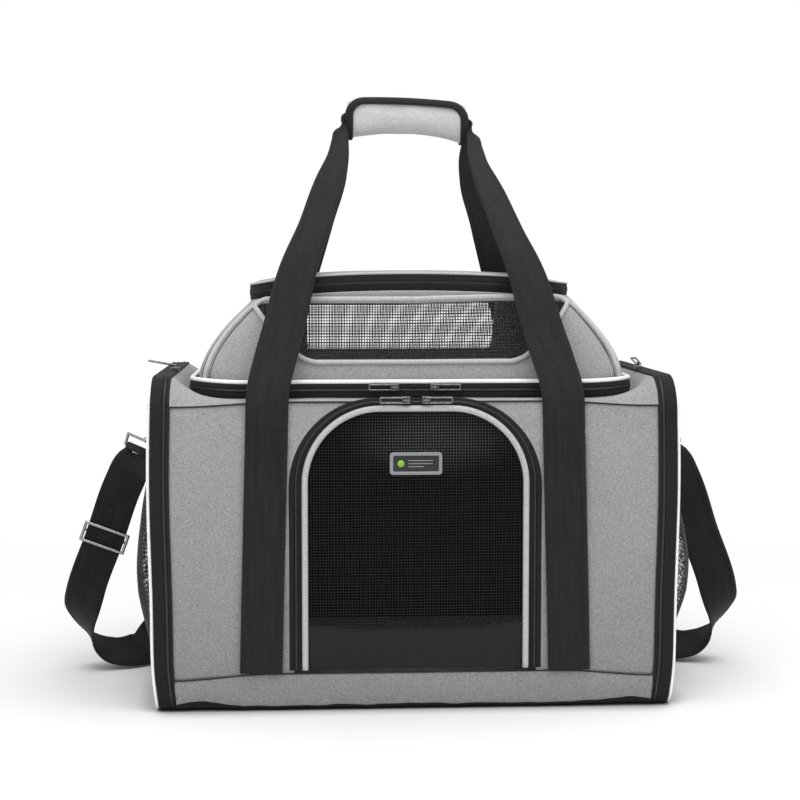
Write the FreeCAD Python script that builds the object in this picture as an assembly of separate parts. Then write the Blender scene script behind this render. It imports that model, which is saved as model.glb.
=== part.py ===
import FreeCAD, Part
import os
from math import copysign, cos, radians, sin, tan

# Soft-sided pet carrier with an expandable top hood.
# Millimetres. X to the right, -Y to the front (door side), Z up.
# Origin: centre of the footprint, on the floor.

Vec = FreeCAD.Vector
RIGHT, FRONT, BACK, UP = Vec(1, 0, 0), Vec(0, -1, 0), Vec(0, 1, 0), Vec(0, 0, 1)

os.makedirs("parts", exist_ok=True)

# ---------------------------------------------------------------- driving sizes
BODY_W = 472.0                      # over the end piping
BODY_D = 290.0                      # over the front and rear panels
BODY_H = 300.0                      # over the end rims
HALF_D = BODY_D / 2
FRONT_Y = -HALF_D
FABRIC_T = 3.0                      # base cover and end zip tape
PANEL_T = 4.0                       # front and rear panels
GAP = 0.3                           # between neighbouring pieces
END_R_TOP, END_R_BOT = 30.0, 14.0   # corners of the end outline
BAND_X0, BAND_X1 = 211.0, 231.5     # end zip tape, from and to
PANEL_HW = BAND_X0 - GAP            # half width between the end zip tapes
END_X = BAND_X1 + GAP               # inner face of the end panels and piping
BASE_Z = 39.0                       # top of the base band
SEAM_Z = 279.0                      # top seam of the front and rear panels
MID_H = 282.0                       # top panel between the end rims


# ---------------------------------------------------------------- helpers
def save(name, *shapes):
    solids = [solid for shape in shapes for solid in shape.Solids]
    result = solids[0] if len(solids) == 1 else Part.makeCompound(solids)
    result.exportStep("parts/%s.step" % name)


def mirror_x(shape):
    return shape.mirror(Vec(0, 0, 0), RIGHT)


def save_both_ends(name, shape):
    save(name, shape, mirror_x(shape))


def save_front_rear(name, *shapes):
    save(name + "_front", *shapes)
    save(name + "_rear", *[s.mirror(Vec(0, 0, 0), BACK) for s in shapes])


def largest(shape):
    return max(shape.Solids, key=lambda solid: solid.Volume)


def grow(size, amount):
    """Offset an outline: every half width, height and radius grows alike."""
    return tuple(value + amount for value in size)


def box(x0, x1, y0, y1, z0, z1):
    return Part.makeBox(x1 - x0, y1 - y0, z1 - z0, Vec(x0, y0, z0))


def rounded_wire(corners):
    """Closed wire through (point, radius) corners; radius 0 stays sharp."""
    rounded = []    # start, end and arc of each corner
    for i, (point, radius) in enumerate(corners):
        if radius == 0:
            rounded.append((point, point, None))
            continue
        before = (corners[i - 1][0] - point).normalize()
        after = (corners[(i + 1) % len(corners)][0] - point).normalize()
        half = before.getAngle(after) / 2.0
        setback = radius / tan(half)
        start, end = point + before * setback, point + after * setback
        bisector = (before + after).normalize()
        middle = point + bisector * (radius / sin(half)) - bisector * radius
        rounded.append((start, end, Part.Arc(start, middle, end).toShape()))
    edges = []
    for i, (start, end, arc) in enumerate(rounded):
        if arc is not None:
            edges.append(arc)
        edges.append(Part.makeLine(end, rounded[(i + 1) % len(rounded)][0]))
    return Part.Wire(edges)


def rounded_rect(size, z):
    """Horizontal outline; size is half width, half depth, corner radius."""
    hw, hd, radius = size
    signs = ((-1, -1), (1, -1), (1, 1), (-1, 1))
    return rounded_wire([(Vec(a * hw, b * hd, z), radius) for a, b in signs])


def plate(size, z0, z1):
    return Part.Face(rounded_rect(size, z0)).extrude(Vec(0, 0, z1 - z0))


def ring(size, wall, z0, z1):
    return plate(size, z0, z1).cut(plate(grow(size, -wall), z0 - 1, z1 + 1))


def end_plate(x0, x1, inset):
    """Slab across X with the end outline of the body, drawn in by inset."""
    hd = HALF_D - inset
    z0, z1 = inset, BODY_H - inset
    top, bottom = END_R_TOP - inset, END_R_BOT - inset
    outline = rounded_wire([(Vec(x0, -hd, z0), bottom), (Vec(x0, hd, z0), bottom),
                            (Vec(x0, hd, z1), top), (Vec(x0, -hd, z1), top)])
    return Part.Face(outline).extrude(Vec(x1 - x0, 0, 0))


def arch(size, z0, y0, y1):
    """Upright slab, square at the foot; size is half width, top, top radius."""
    hw, top, radius = size
    outline = rounded_wire([(Vec(-hw, y0, z0), 0), (Vec(hw, y0, z0), 0),
                            (Vec(hw, y0, top), radius), (Vec(-hw, y0, top), radius)])
    return Part.Face(outline).extrude(Vec(0, y1 - y0, 0))


def prism_y(outline, y0, y1):
    """Prism along Y from (x, z) points."""
    points = [Vec(x, y0, z) for x, z in outline]
    return Part.Face(Part.makePolygon(points + points[:1])).extrude(Vec(0, y1 - y0, 0))


def symmetric(left):
    """Close a left half outline with its mirror image."""
    return left + [(-x, z) for x, z in reversed(left)]


def rod(start, end, radius):
    return Part.makeCylinder(radius, (end - start).Length, start, end - start)


def wire_path(points, radius, closed=False):
    """Round wire through points, with ball corners."""
    ends = points[1:] + points[:1] if closed else points[1:]
    rods = [rod(a, b, radius) for a, b in zip(points, ends)]
    balls = [Part.makeSphere(radius, p) for p in (points if closed else points[1:-1])]
    shape = rods[0]
    for piece in rods[1:] + balls:
        shape = shape.fuse(piece)
    return shape


def rectangle(centre, across, along, half_across, half_along):
    signs = ((-1, -1), (1, -1), (1, 1), (-1, 1))
    return [centre + across * (half_across * a) + along * (half_along * b) for a, b in signs]


def square_to(direction, axis):
    """Unit vector of direction with its part along axis taken out."""
    return (direction - axis * direction.dot(axis)).normalize()


def ribbon(sections, thick):
    """Flat webbing through sections (centre, width direction, width)."""
    rings = []
    for i, (centre, direction, width) in enumerate(sections):
        before = sections[max(i - 1, 0)][0]
        after = sections[min(i + 1, len(sections) - 1)][0]
        along = (after - before).normalize()
        across = square_to(direction, along)
        normal = along.cross(across).normalize()
        side, face = across * (width / 2.0), normal * (thick / 2.0)
        rings.append([centre - side - face, centre + side - face,
                      centre + side + face, centre - side + face])
    triangles = []
    for near, far in zip(rings, rings[1:]):
        for k in range(4):
            j = (k + 1) % 4
            triangles += [(near[k], near[j], far[j]), (near[k], far[j], far[k])]
    for cap in (rings[0], rings[-1]):
        triangles += [(cap[0], cap[1], cap[2]), (cap[0], cap[2], cap[3])]
    # triangles without area are left out, as they make no face
    faces = [Part.Face(Part.makePolygon([a, b, c, a])) for a, b, c in triangles
             if (b - a).cross(c - a).Length > 1e-7]
    solid = Part.makeSolid(Part.makeShell(faces))
    if solid.Volume < 0:
        solid.reverse()
    return solid


def flip_x(point):
    return Vec(-point.x, point.y, point.z)


def mirrored_sections(sections):
    """Ribbon sections of the other side, in running order."""
    return [(flip_x(c), flip_x(direction), width) for c, direction, width in reversed(sections)]


# ---------------------------------------------------------------- base
shell = end_plate(-PANEL_HW, PANEL_HW, 0.0)
shell = shell.cut(end_plate(-PANEL_HW - 1, PANEL_HW + 1, FABRIC_T))
save("base_cover", shell.common(box(-300, 300, -200, 200, -1, BASE_Z)))

BOARD_HW, BOARD_HD, BOARD_Z0, BOARD_Z1 = 205, 133.3, 3.4, 7.4
save("base_board", box(-BOARD_HW, BOARD_HW, -BOARD_HD, BOARD_HD, BOARD_Z0, BOARD_Z1))

MAT_SIZE = (203, 134, 14)
MAT_Z0, MAT_Z1 = 7.8, 23.0
save("floor_mat", plate(MAT_SIZE, MAT_Z0, MAT_Z1))

# ---------------------------------------------------------------- front and rear panels
# Nested door outlines: half width, top, top corner radius
DOOR_MESH = (96.5, 267.0, 65.0)
DOOR_PIPING = (102.0, 272.5, 70.0)
DOOR_EDGE = (106.5, 275.5, 74.0)    # moving half of the zip
DOORWAY = grow(DOOR_EDGE, 0.8)
DOOR_TAPE = (113.0, 278.8, 79.0)    # fixed half of the zip

PANEL_Z0, PANEL_Z1 = BASE_Z + GAP, SEAM_Z - 0.2
doorway = arch(DOORWAY, BASE_Z - 2, FRONT_Y - 3, FRONT_Y + 8)
front = box(-PANEL_HW, PANEL_HW, FRONT_Y, FRONT_Y + PANEL_T, PANEL_Z0, PANEL_Z1)
save("front_panel", front.cut(doorway))
save("rear_panel", box(-PANEL_HW, PANEL_HW, HALF_D - PANEL_T, HALF_D, PANEL_Z0, PANEL_Z1))

# ---------------------------------------------------------------- top panel
# Left half of the section, (x, z): up the top face to the rim, back along the underside
TOP_SECTION = symmetric([
    (-187, MID_H), (-194, 289), (-202, 296.5), (-PANEL_HW, 299),
    (-PANEL_HW, 296), (-203, 293.5), (-196, 286), (-188, SEAM_Z)])
TOP_FLAT_HW = 188.5
TOP_OPENING = (186, 110, 34)
HOOD_SEAT = (204.5, 125.5, 46)      # room for the hood's zip band above MID_H


def top_panel():
    flat = box(-TOP_FLAT_HW, TOP_FLAT_HW, -HALF_D, HALF_D, SEAM_Z, MID_H)
    panel = prism_y(TOP_SECTION, -HALF_D, HALF_D)
    panel = panel.common(end_plate(-PANEL_HW, PANEL_HW, 0.0).fuse(flat))
    panel = panel.cut(plate(TOP_OPENING, 200, 320))
    panel = panel.cut(plate(HOOD_SEAT, MID_H, 320))
    return largest(panel)


save("top_panel", top_panel())

# ---------------------------------------------------------------- ends
END_PANEL_X1, END_PANEL_INSET = 234.7, 4.8
END_PIPING_W = 4.5
for side, name in ((-1, "left"), (1, "right")):
    x0, x1 = sorted((side * BAND_X0, side * BAND_X1))
    tape = end_plate(x0, x1, 0.0).cut(end_plate(x0 - 1, x1 + 1, FABRIC_T))
    save("end_zip_" + name, tape)
    x0, x1 = sorted((side * END_X, side * END_PANEL_X1))
    save("end_panel_" + name, end_plate(x0, x1, END_PANEL_INSET))
piping = end_plate(END_X, BODY_W / 2, 0.0).cut(end_plate(231, 240, END_PIPING_W))
save_both_ends("end_piping", piping)

HOOP_X, HOOP_Y, HOOP_R = 221.0, 138.5, 22.0
HOOP_Z0, HOOP_Z1 = 10.0, 293.0
HOOP_WIRE_R = 2.0


def hoop(x):
    """Upturned U of rod across the depth, open at the floor."""
    front_half = [Vec(x, -HOOP_Y, HOOP_Z0)]
    for k in range(7):
        angle = radians(15 * k)
        front_half.append(Vec(x, -HOOP_Y + HOOP_R - HOOP_R * cos(angle),
                              HOOP_Z1 - HOOP_R + HOOP_R * sin(angle)))
    rear_half = [Vec(p.x, -p.y, p.z) for p in reversed(front_half)]
    return wire_path(front_half + rear_half, HOOP_WIRE_R)


save("end_frame_rods", hoop(-HOOP_X), hoop(HOOP_X))

POCKET_HD, POCKET_Z0, POCKET_Z1 = 116.0, 36.0, 196.0
POCKET_X0, POCKET_X1 = 236.4, 248.5     # edge and crown of the bulge
POCKET_T, POCKET_EDGE_W = 1.5, 4.0      # at the crown and at the edges


def pocket():
    """Bulged net wall on the right end."""
    def bow(half_depth, crown_x):
        return [Vec(POCKET_X0, -half_depth, POCKET_Z0), Vec(crown_x, 0, POCKET_Z0),
                Vec(POCKET_X0, half_depth, POCKET_Z0)]

    outer = bow(POCKET_HD, POCKET_X1)
    inner = bow(POCKET_HD - POCKET_EDGE_W, POCKET_X1 - POCKET_T)[::-1]
    outline = Part.Wire([
        Part.Arc(*outer).toShape(), Part.makeLine(outer[2], inner[0]),
        Part.Arc(*inner).toShape(), Part.makeLine(inner[2], outer[0])])
    return Part.Face(outline).extrude(Vec(0, 0, POCKET_Z1 - POCKET_Z0))


save_both_ends("end_pockets", pocket())

# ---------------------------------------------------------------- door
DOOR_Z0 = 41.0
DOOR_BACK_Y = -143.2
EDGE_Y, PIPING_Y = -146.3, -148.0       # front faces
MESH_Y0, MESH_Y1 = -146.0, -144.6
LOWER_BAND_Y0, LOWER_BAND_Y1 = -146.2, -144.4
LOWER_BAND_TOP = 76.0
TAPE_OUT = 1.3                          # tape's front face ahead of the front panel


def door_frame(outer, inner, front_y):
    """Arched band round the inner outline, 0.2 clear of it."""
    hole = arch(grow(inner, 0.2), DOOR_Z0 - 2, -150, -140)
    return arch(outer, DOOR_Z0, front_y, DOOR_BACK_Y).cut(hole)


tape = arch(DOOR_TAPE, BASE_Z + 0.5, FRONT_Y - TAPE_OUT, FRONT_Y - 0.1)
save("door_zip_tape", tape.cut(doorway))
save("door_zip_edge", door_frame(DOOR_EDGE, DOOR_PIPING, EDGE_Y))
save("door_piping", door_frame(DOOR_PIPING, DOOR_MESH, PIPING_Y))
mesh = arch(DOOR_MESH, DOOR_Z0, MESH_Y0, MESH_Y1)
save("door_mesh", mesh.cut(box(-200, 200, -160, -130, 0, LOWER_BAND_TOP)))
save("door_lower_band", box(-DOOR_MESH[0], DOOR_MESH[0], LOWER_BAND_Y0, LOWER_BAND_Y1,
                            DOOR_Z0, LOWER_BAND_TOP - 0.2))

BADGE_Z = 223.5
BADGE_R = 3.0
BADGE_FLOOR_Y = -147.4                  # floor of the recess in the frame


def badge_box(half_width, half_height, y0, y1):
    return box(-half_width, half_width, y0, y1, BADGE_Z - half_height, BADGE_Z + half_height)


frame = badge_box(23.5, 10, -148.6, -146.2)
corner_edges = [e for e in frame.Edges if abs(e.tangentAt(e.FirstParameter).y) > 0.9]
frame = frame.makeFillet(BADGE_R, corner_edges)
save("badge_frame", frame.cut(badge_box(20.5, 7.2, -150, BADGE_FLOOR_Y)))
save("badge_plate", badge_box(20.2, 6.9, -148.9, BADGE_FLOOR_Y - 0.1))

# ---------------------------------------------------------------- hood
# Horizontal outlines: half width, half depth, corner radius
HOOD_BASE = (201.0, 125.0, 44.0)        # zip band
HOOD_BOT, HOOD_BOT_Z = (195.0, 119.0, 40.0), 283.0
HOOD_TOP, HOOD_TOP_Z = (148.0, 86.0, 40.0), 366.0
HOOD_T = 2.5
save("hood_zip_band", ring(HOOD_BASE, 3.0, MID_H + GAP, 296.0))
save("hood_base_piping", ring(grow(HOOD_BASE, -0.6), 4.0, 296.2, 300.0))


def hood_loft(offset):
    bottom = rounded_rect(grow(HOOD_BOT, offset), HOOD_BOT_Z)
    top = rounded_rect(grow(HOOD_TOP, offset), HOOD_TOP_Z)
    return Part.makeLoft([bottom, top], True, True)


def trapezoid(bottom_hw, z0, top_hw, z1):
    return [(-bottom_hw, z0), (bottom_hw, z0), (top_hw, z1), (-top_hw, z1)]


def shrunk(outline, gap):
    """Draw points in by gap across and 0.9 gap up or down."""
    mid_z = sum(z for x, z in outline) / len(outline)
    return [(x - copysign(gap, x), z - copysign(gap * 0.9, z - mid_z)) for x, z in outline]


# Outlines of the front and rear faces, (x, z)
HOOD_PANEL = trapezoid(184, 280, 139, 370)
PANEL_IN_GUSSET = trapezoid(184.3, 280, 139.3, 370)
PANEL_IN_PIPING = trapezoid(180, 284, 136.5, 363.5)
WINDOW = symmetric([(-134, 362.0), (-127, 340), (-117, 325), (-104, 317), (-92, 314.5)])
WINDOW_PIPING = symmetric([
    (-138, 362.0), (-131, 338), (-120, 321.5), (-106, 313), (-93, 310.5)])
FRONT_SPAN, REAR_SPAN, FULL_SPAN = (-200, -40), (40, 200), (-200, 200)     # in Y

hood_wall = hood_loft(0.0).cut(hood_loft(-HOOD_T))
for name, span in (("front", FRONT_SPAN), ("rear", REAR_SPAN)):
    panel = hood_wall.common(prism_y(HOOD_PANEL, *span))
    save("hood_%s_panel" % name, panel.cut(prism_y(WINDOW, *span)))
pane = shrunk(WINDOW, 0.3)
save("hood_windows", *[hood_wall.common(prism_y(pane, *s)) for s in (FRONT_SPAN, REAR_SPAN)])
save("hood_gussets", hood_wall.cut(prism_y(PANEL_IN_GUSSET, *FULL_SPAN)))


def hood_piping():
    """Raised lines round the panels and round the windows, open along the windows' top."""
    skin = hood_loft(2.2).cut(hood_loft(0.2))
    panel_line = prism_y(HOOD_PANEL, *FULL_SPAN).cut(prism_y(PANEL_IN_PIPING, *FULL_SPAN))
    open_top = [(x, z + (5 if z > 355 else 0)) for x, z in WINDOW]
    window_line = prism_y(WINDOW_PIPING, *FULL_SPAN).cut(prism_y(open_top, *FULL_SPAN))
    return skin.common(panel_line.fuse(window_line))


save("hood_piping", hood_piping())
save("hood_top_ring", ring((149.0, 83.0, 40.0), 8.0, 366.3, 370.0))

# ---------------------------------------------------------------- lid
LID_HW, LID_HD, LID_R = LID = (147.0, 80.0, 38.0)
LID_TAPE_T = 2.6
LID_SPLIT_Z = 379.5                     # top of the tape all round
LID_RIM = 4.0                           # width of the lid's downturned rim

# The tape carries on up in a strip along the rear, where the lid joins
low_tape = ring(LID, LID_TAPE_T, 370.2, LID_SPLIT_Z)
strip = ring((LID_HW, LID_HD - 1.7, LID_R), LID_TAPE_T, LID_SPLIT_Z, 387.8)
strip = strip.common(box(-112, 112, 60, 100, 370, 390))
save("lid_zip_tape", low_tape.fuse(strip).removeSplitter())

lid_edge = ring(LID, LID_TAPE_T, 379.9, 388.0)
save("lid_zip_edge", lid_edge.common(box(-200, 200, -100, 70, 370, 390)))

lid = plate(LID, 388.3, 395.0).common(box(-200, 200, -100, 78.2, 380, 400))
hollow = plate(grow(LID, -LID_RIM), 388.0, 391.5)
save("lid_panel", lid.cut(hollow.common(box(-200, 200, -100, 74, 380, 400))))

# ---------------------------------------------------------------- carrying webbing
WEB_W, WEB_T = 38.0, 2.5
SEWN_X0, SEWN_X1 = 139.0, 133.0         # webbing centre at the base and at the top
SEWN_TOP = 244.0
SEWN_Y = FRONT_Y - TAPE_OUT - 0.1 - WEB_T / 2
HANDLE_Y = -146.5                       # foot of the handle
HANDLE_Z = 252.0 + 0.6
# Right half of the front handle, from the foot to the middle of the grip:
# x, y, z of the centre, x and z of the width direction on the left, width
HANDLE = [
    (133.0, HANDLE_Y, HANDLE_Z, 1, 0, WEB_W), (132.6, HANDLE_Y, 283.0, 1, 0, WEB_W),
    (132.0, HANDLE_Y + 1.2, 288.0, 1, 0, WEB_W), (120.0, -119.0, 338.0, 1, 0, WEB_W),
    (106.5, -89.0, 395.0, 1, 0, WEB_W), (93.0, -64.0, 442.0, 1, 0, 37.0),
    (82.0, -41.0, 485.0, 1, 0, 33.0), (75.5, -26.5, 512.0, 1, 0, 25.0),
    (71.5, -18.0, 527.0, 1, 0, 18.0), (69.0, -11.5, 538.0, 0.75, -0.66, 15.0),
    (62.5, -6.0, 545.0, 0.3, -0.95, 15.0), (55.0, -4.5, 546.0, 0, -1, 15.0),
]


def handle():
    """One length of webbing: up one leg, through the grip and down the other leg."""
    left = [(Vec(-x, y, z), Vec(across_x, 0, across_z), width)
            for x, y, z, across_x, across_z, width in HANDLE]
    return ribbon(left + mirrored_sections(left), WEB_T)


def sewn_strap(side):
    foot = Vec(side * SEWN_X0, SEWN_Y, BASE_Z + 1.0)
    head = Vec(side * SEWN_X1, SEWN_Y, SEWN_TOP)
    return ribbon([(foot, RIGHT, WEB_W), (head, RIGHT, WEB_W)], WEB_T)


save_front_rear("handle_webbing", handle())
save_front_rear("strap_sewn", sewn_strap(-1), sewn_strap(1))

# ---------------------------------------------------------------- grip
GRIP_HW, GRIP_Z0, GRIP_Z1 = 60.0, 527.0, 565.0
GRIP_T, GRIP_R = 14.0, 9.0
GRIP_INNER_Y = -0.4                     # front half stops short of the middle


def grip_half():
    """Front half of the grip, hollowed from the inner side."""
    outline = rounded_wire([
        (Vec(-GRIP_HW, -GRIP_T, GRIP_Z0), GRIP_R), (Vec(-GRIP_HW, GRIP_INNER_Y, GRIP_Z0), 0),
        (Vec(-GRIP_HW, GRIP_INNER_Y, GRIP_Z1), 0), (Vec(-GRIP_HW, -GRIP_T, GRIP_Z1), GRIP_R)])
    block = Part.Face(outline).extrude(Vec(2 * GRIP_HW, 0, 0))
    return block.cut(box(-GRIP_HW - 1, GRIP_HW + 1, -8.6, 1, 533.0, 559.0))


save_front_rear("grip", grip_half())
# Downturned U on the outer face of each half
binding = box(-GRIP_HW, GRIP_HW, -15.4, -14.2, 538.0, 560.0)
binding = binding.cut(box(-GRIP_HW + 6, GRIP_HW - 6, -16, -13, 530, 554.5))
save_front_rear("grip_binding", binding)

# ---------------------------------------------------------------- shoulder rings and hooks
RING_C = Vec(241.5, 0, 253.0)
RING_R, RING_WIRE_R = 13.0, 1.9

tab = box(234.9, 238.3, -11, 11, RING_C.z, 281.0)
tab = tab.fuse(Part.makeCylinder(4.2, 19, RING_C + FRONT * 9.5, BACK))
tab = tab.cut(Part.makeCylinder(2.4, 24, RING_C + FRONT * 12, BACK))
save_both_ends("ring_tabs", largest(tab))


def d_ring():
    """Straight bar along Y with a half ring hanging below it."""
    ends = [RING_C + FRONT * RING_R, RING_C + BACK * RING_R]
    bow = Part.makeTorus(RING_R, RING_WIRE_R, RING_C, RIGHT)
    bow = bow.common(box(RING_C.x - 5, RING_C.x + 5, -30, 30, RING_C.z - 30, RING_C.z))
    shape = rod(*ends, RING_WIRE_R).fuse(bow)
    for end in ends:
        shape = shape.fuse(Part.makeSphere(RING_WIRE_R, end))
    return largest(shape)


save_both_ends("d_rings", d_ring())

# Rectangular eye of the hook: centre, directions across and down, half sizes
EYE_C = Vec(255.5, 0.0, 225.5)
EYE_ACROSS = Vec(0.82, 0.49, 0.29).normalize()
EYE_DOWN = square_to(Vec(0.26, 0.10, -0.96), EYE_ACROSS)
EYE_HW, EYE_HH = 20.6, 5.5


def snap_hook():
    """Small ring round the bottom of the D ring, a shank and the eye."""
    ring_centre = RING_C - UP * RING_R
    small_ring = Part.makeTorus(4.4, 1.5, ring_centre, BACK)
    corners = rectangle(EYE_C, EYE_ACROSS, EYE_DOWN, EYE_HW, EYE_HH)
    eye = wire_path(corners, 1.4, closed=True)
    top = (corners[0] + corners[1]) * 0.5
    start = ring_centre + Vec(3.2, 0, -3.4)
    shank = rod(start, top + (top - start).normalize() * 0.5, 2.6)
    return largest(small_ring.fuse(shank).fuse(eye))


save_both_ends("snap_hooks", snap_hook())

# ---------------------------------------------------------------- shoulder strap
STRAP_T = 2.4
LOOP_W, LOOP_R = 35.0, 3.1              # loop round the lower bar of the eye
RUN_TOP, RUN_END = Vec(275.0, 8.0, 190.0), Vec(316.0, 20.0, 79.0)
RUN_MID = RUN_TOP + (RUN_END - RUN_TOP) * 0.5
RUN_ALONG = (RUN_END - RUN_TOP).normalize()
RUN_ACROSS = square_to(Vec(0.938, 0.0, 0.347), RUN_ALONG)
# From the end of the straight run to the middle behind the carrier: centre, width direction
STRAP_TAIL = [
    ((319.5, 22.5, 64.0), (0.90, 0.25, 0.25)), ((319.0, 26.0, 50.0), (0.70, 0.65, 0.20)),
    ((315.0, 29.0, 37.0), (0.35, 0.93, 0.0)), ((307.0, 32.0, 25.5), (0.0, 0.97, 0.15)),
    ((295.0, 35.0, 17.5), (-0.1, 0.9, 0.4)), ((281.0, 38.5, 14.0), (0.0, 0.84, 0.54)),
    ((267.0, 47.0, 14.6), (0.4, 0.6, 0.62)), ((259.5, 63.0, 13.5), (0.75, 0.25, 0.62)),
    ((257.0, 85.0, 15.6), (0.72, 0.0, 0.69)), ((254.0, 110.0, 18.6), (0.45, 0.0, 0.89)),
    ((250.0, 134.0, 19.8), (0.15, 0.0, 0.99)), ((241.0, 152.0, 20.0), (0, 0, 1)),
    ((224.0, 162.0, 20.0), (0, 0, 1)), ((200.0, 165.0, 20.0), (0, 0, 1)),
    ((0.0, 166.0, 20.0), (0, 0, 1)),
]


def strap_half():
    """Right half: sewn end, round the eye's lower bar, down the run and to the middle."""
    bar = EYE_C + EYE_DOWN * EYE_HH
    normal = EYE_ACROSS.cross(EYE_DOWN).normalize()
    loop = [bar + EYE_DOWN * 16.0 - normal * 4.4, bar + EYE_DOWN * 5.0 - normal * 3.8]
    for k in range(9):
        angle = radians(180.0 * k / 8.0)
        loop.append(bar - normal * (LOOP_R * cos(angle)) - EYE_DOWN * (LOOP_R * sin(angle)))
    loop.append(bar + EYE_DOWN * 4.5 + normal * 1.6)
    sections = [(centre, EYE_ACROSS, LOOP_W) for centre in loop]
    sections += [(EYE_C + EYE_DOWN * 15.2, EYE_ACROSS, 37.0),
                 (Vec(266.5, 4.5, 206.0), Vec(0.87, 0.3, 0.32), WEB_W)]
    sections += [(centre, RUN_ACROSS, WEB_W) for centre in (RUN_TOP, RUN_MID, RUN_END)]
    return sections + [(Vec(*c), Vec(*across), WEB_W) for c, across in STRAP_TAIL]


half = strap_half()
save("shoulder_strap", ribbon(half + mirrored_sections(half[:-1]), STRAP_T))

ADJUSTER_HW, ADJUSTER_HH = 21.5, 9.0
ADJUSTER_OFF = 3.2                      # wire centre off the strap's middle
ADJUSTER_WIRE_R = 1.5


def strap_adjuster():
    """Wire frame before the left run, with a crossbar behind the strap."""
    across, along = flip_x(RUN_ACROSS), flip_x(RUN_ALONG)
    offset = across.cross(along).normalize() * ADJUSTER_OFF     # towards the front
    before, behind = flip_x(RUN_MID) + offset, flip_x(RUN_MID) - offset
    corners = rectangle(before, across, along, ADJUSTER_HW, ADJUSTER_HH)
    shape = wire_path(corners, ADJUSTER_WIRE_R, closed=True)
    for side in (-1, 1):
        reach = across * (ADJUSTER_HW * side)
        arm = wire_path([before + reach, behind + reach, behind], ADJUSTER_WIRE_R)
        shape = shape.fuse(arm)
    return largest(shape)


save("strap_adjuster", strap_adjuster())

# ---------------------------------------------------------------- zip sliders and pulls
PULL_W, PULL_WIRE_R = 4.6, 0.9
SLIDER_R = 0.9


def slider(pivot, depth, size, outward, along):
    """Block centred depth below the pivot, with a staple 0.3 clear of the pull's bar."""
    size = Vec(*size)
    block = Part.makeBox(*size, pivot - outward * depth - size * 0.5)
    block = block.makeFillet(SLIDER_R, block.Edges)
    foot, leg, reach = outward * 3.2, outward * 2.0, along * 2.6
    staple = wire_path([pivot + reach - foot, pivot + reach + leg,
                        pivot - reach + leg, pivot - reach - foot], 0.8)
    return largest(block.fuse(staple))


def pull(pivot, along, across, length):
    """Rectangular wire loop reaching along from its bar at the pivot."""
    centre = pivot + along * (length / 2.0)
    corners = rectangle(centre, across, along, PULL_W / 2.0, length / 2.0)
    return wire_path(corners, PULL_WIRE_R, closed=True)


hood_slider = slider(Vec(18.0, -131.0, 290.5), 3.7, (8.0, 4.0, 6.5), FRONT, RIGHT)
save("hood_zip_slider_right", hood_slider)
save("hood_zip_slider_left", mirror_x(hood_slider))

# Side, name, then direction of the end slider, and direction and bar axis of its pull
SIDES = (
    (-1, "left", RIGHT, Vec(-0.985, 0, 0.17), BACK),
    (1, "right", BACK, Vec(0, 0.985, 0.17), RIGHT),
)
for side, name, end_along, end_pull, end_bar in SIDES:
    pivot = Vec(side * 9.0, -152.2, 280.4)
    save("door_zip_slider_" + name, slider(pivot, 3.6, (8.0, 3.6, 6.8), FRONT, RIGHT))
    save("door_zip_pull_" + name, pull(pivot, RIGHT * side, UP, 23.0))
    pivot = Vec(side * 18.0, -131.0, 290.5)
    save("hood_zip_pull_" + name, pull(pivot, RIGHT * side, UP, 23.0))
    pivot = Vec(side * HOOP_X, -40.0, 306.2)
    save("end_zip_slider_" + name, slider(pivot, 3.7, (8.0, 8.0, 4.0), UP, end_along))
    save("end_zip_pull_" + name, pull(pivot, end_pull, end_bar, 25.0))

# The lid's slider sits towards the rear of the right side
pivot = Vec(153.3, 30.0, 375.0)
save("lid_zip_slider", slider(pivot, 3.7, (4.0, 8.0, 6.5), RIGHT, BACK))
save("lid_zip_pull", pull(pivot, BACK, UP, 20.0))
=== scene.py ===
# A soft-sided carrier: a padded box body with netted end pockets, an arched net door in
# its front, a netted hood with a zipped lid, two webbing handles that meet in a grip above
# the lid, and a shoulder strap that hangs from the ends and lies round the rear.
# X runs left (-) to right (+), the front faces -Y, Z is up and the floor is at Z = 0.
# Sizes are in millimetres, meshes in metres; materials, lights and camera use metres.
import math
from math import pi

import bmesh
import bpy
import numpy as np
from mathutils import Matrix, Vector, noise


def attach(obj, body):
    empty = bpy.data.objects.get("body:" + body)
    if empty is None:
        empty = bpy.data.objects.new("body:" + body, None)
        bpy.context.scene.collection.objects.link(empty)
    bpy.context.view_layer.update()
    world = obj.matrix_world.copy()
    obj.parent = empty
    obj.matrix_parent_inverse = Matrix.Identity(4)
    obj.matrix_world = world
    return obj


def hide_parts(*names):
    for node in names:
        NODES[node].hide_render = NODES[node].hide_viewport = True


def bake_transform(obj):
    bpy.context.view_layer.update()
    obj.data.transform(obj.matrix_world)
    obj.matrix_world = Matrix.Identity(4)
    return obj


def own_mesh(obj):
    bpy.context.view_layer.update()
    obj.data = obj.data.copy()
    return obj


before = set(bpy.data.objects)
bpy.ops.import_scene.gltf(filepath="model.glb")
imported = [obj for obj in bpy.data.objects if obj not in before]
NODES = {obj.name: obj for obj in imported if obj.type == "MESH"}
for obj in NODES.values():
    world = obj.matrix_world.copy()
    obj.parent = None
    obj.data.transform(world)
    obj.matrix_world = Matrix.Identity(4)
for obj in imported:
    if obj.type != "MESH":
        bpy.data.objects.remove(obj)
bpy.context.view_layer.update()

SCENE = bpy.context.scene
MM = 0.001

# (sign along X or Y, name)
ENDS = ((-1, "left"), (1, "right"))
FACES = ((-1, "front"), (1, "rear"))

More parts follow.
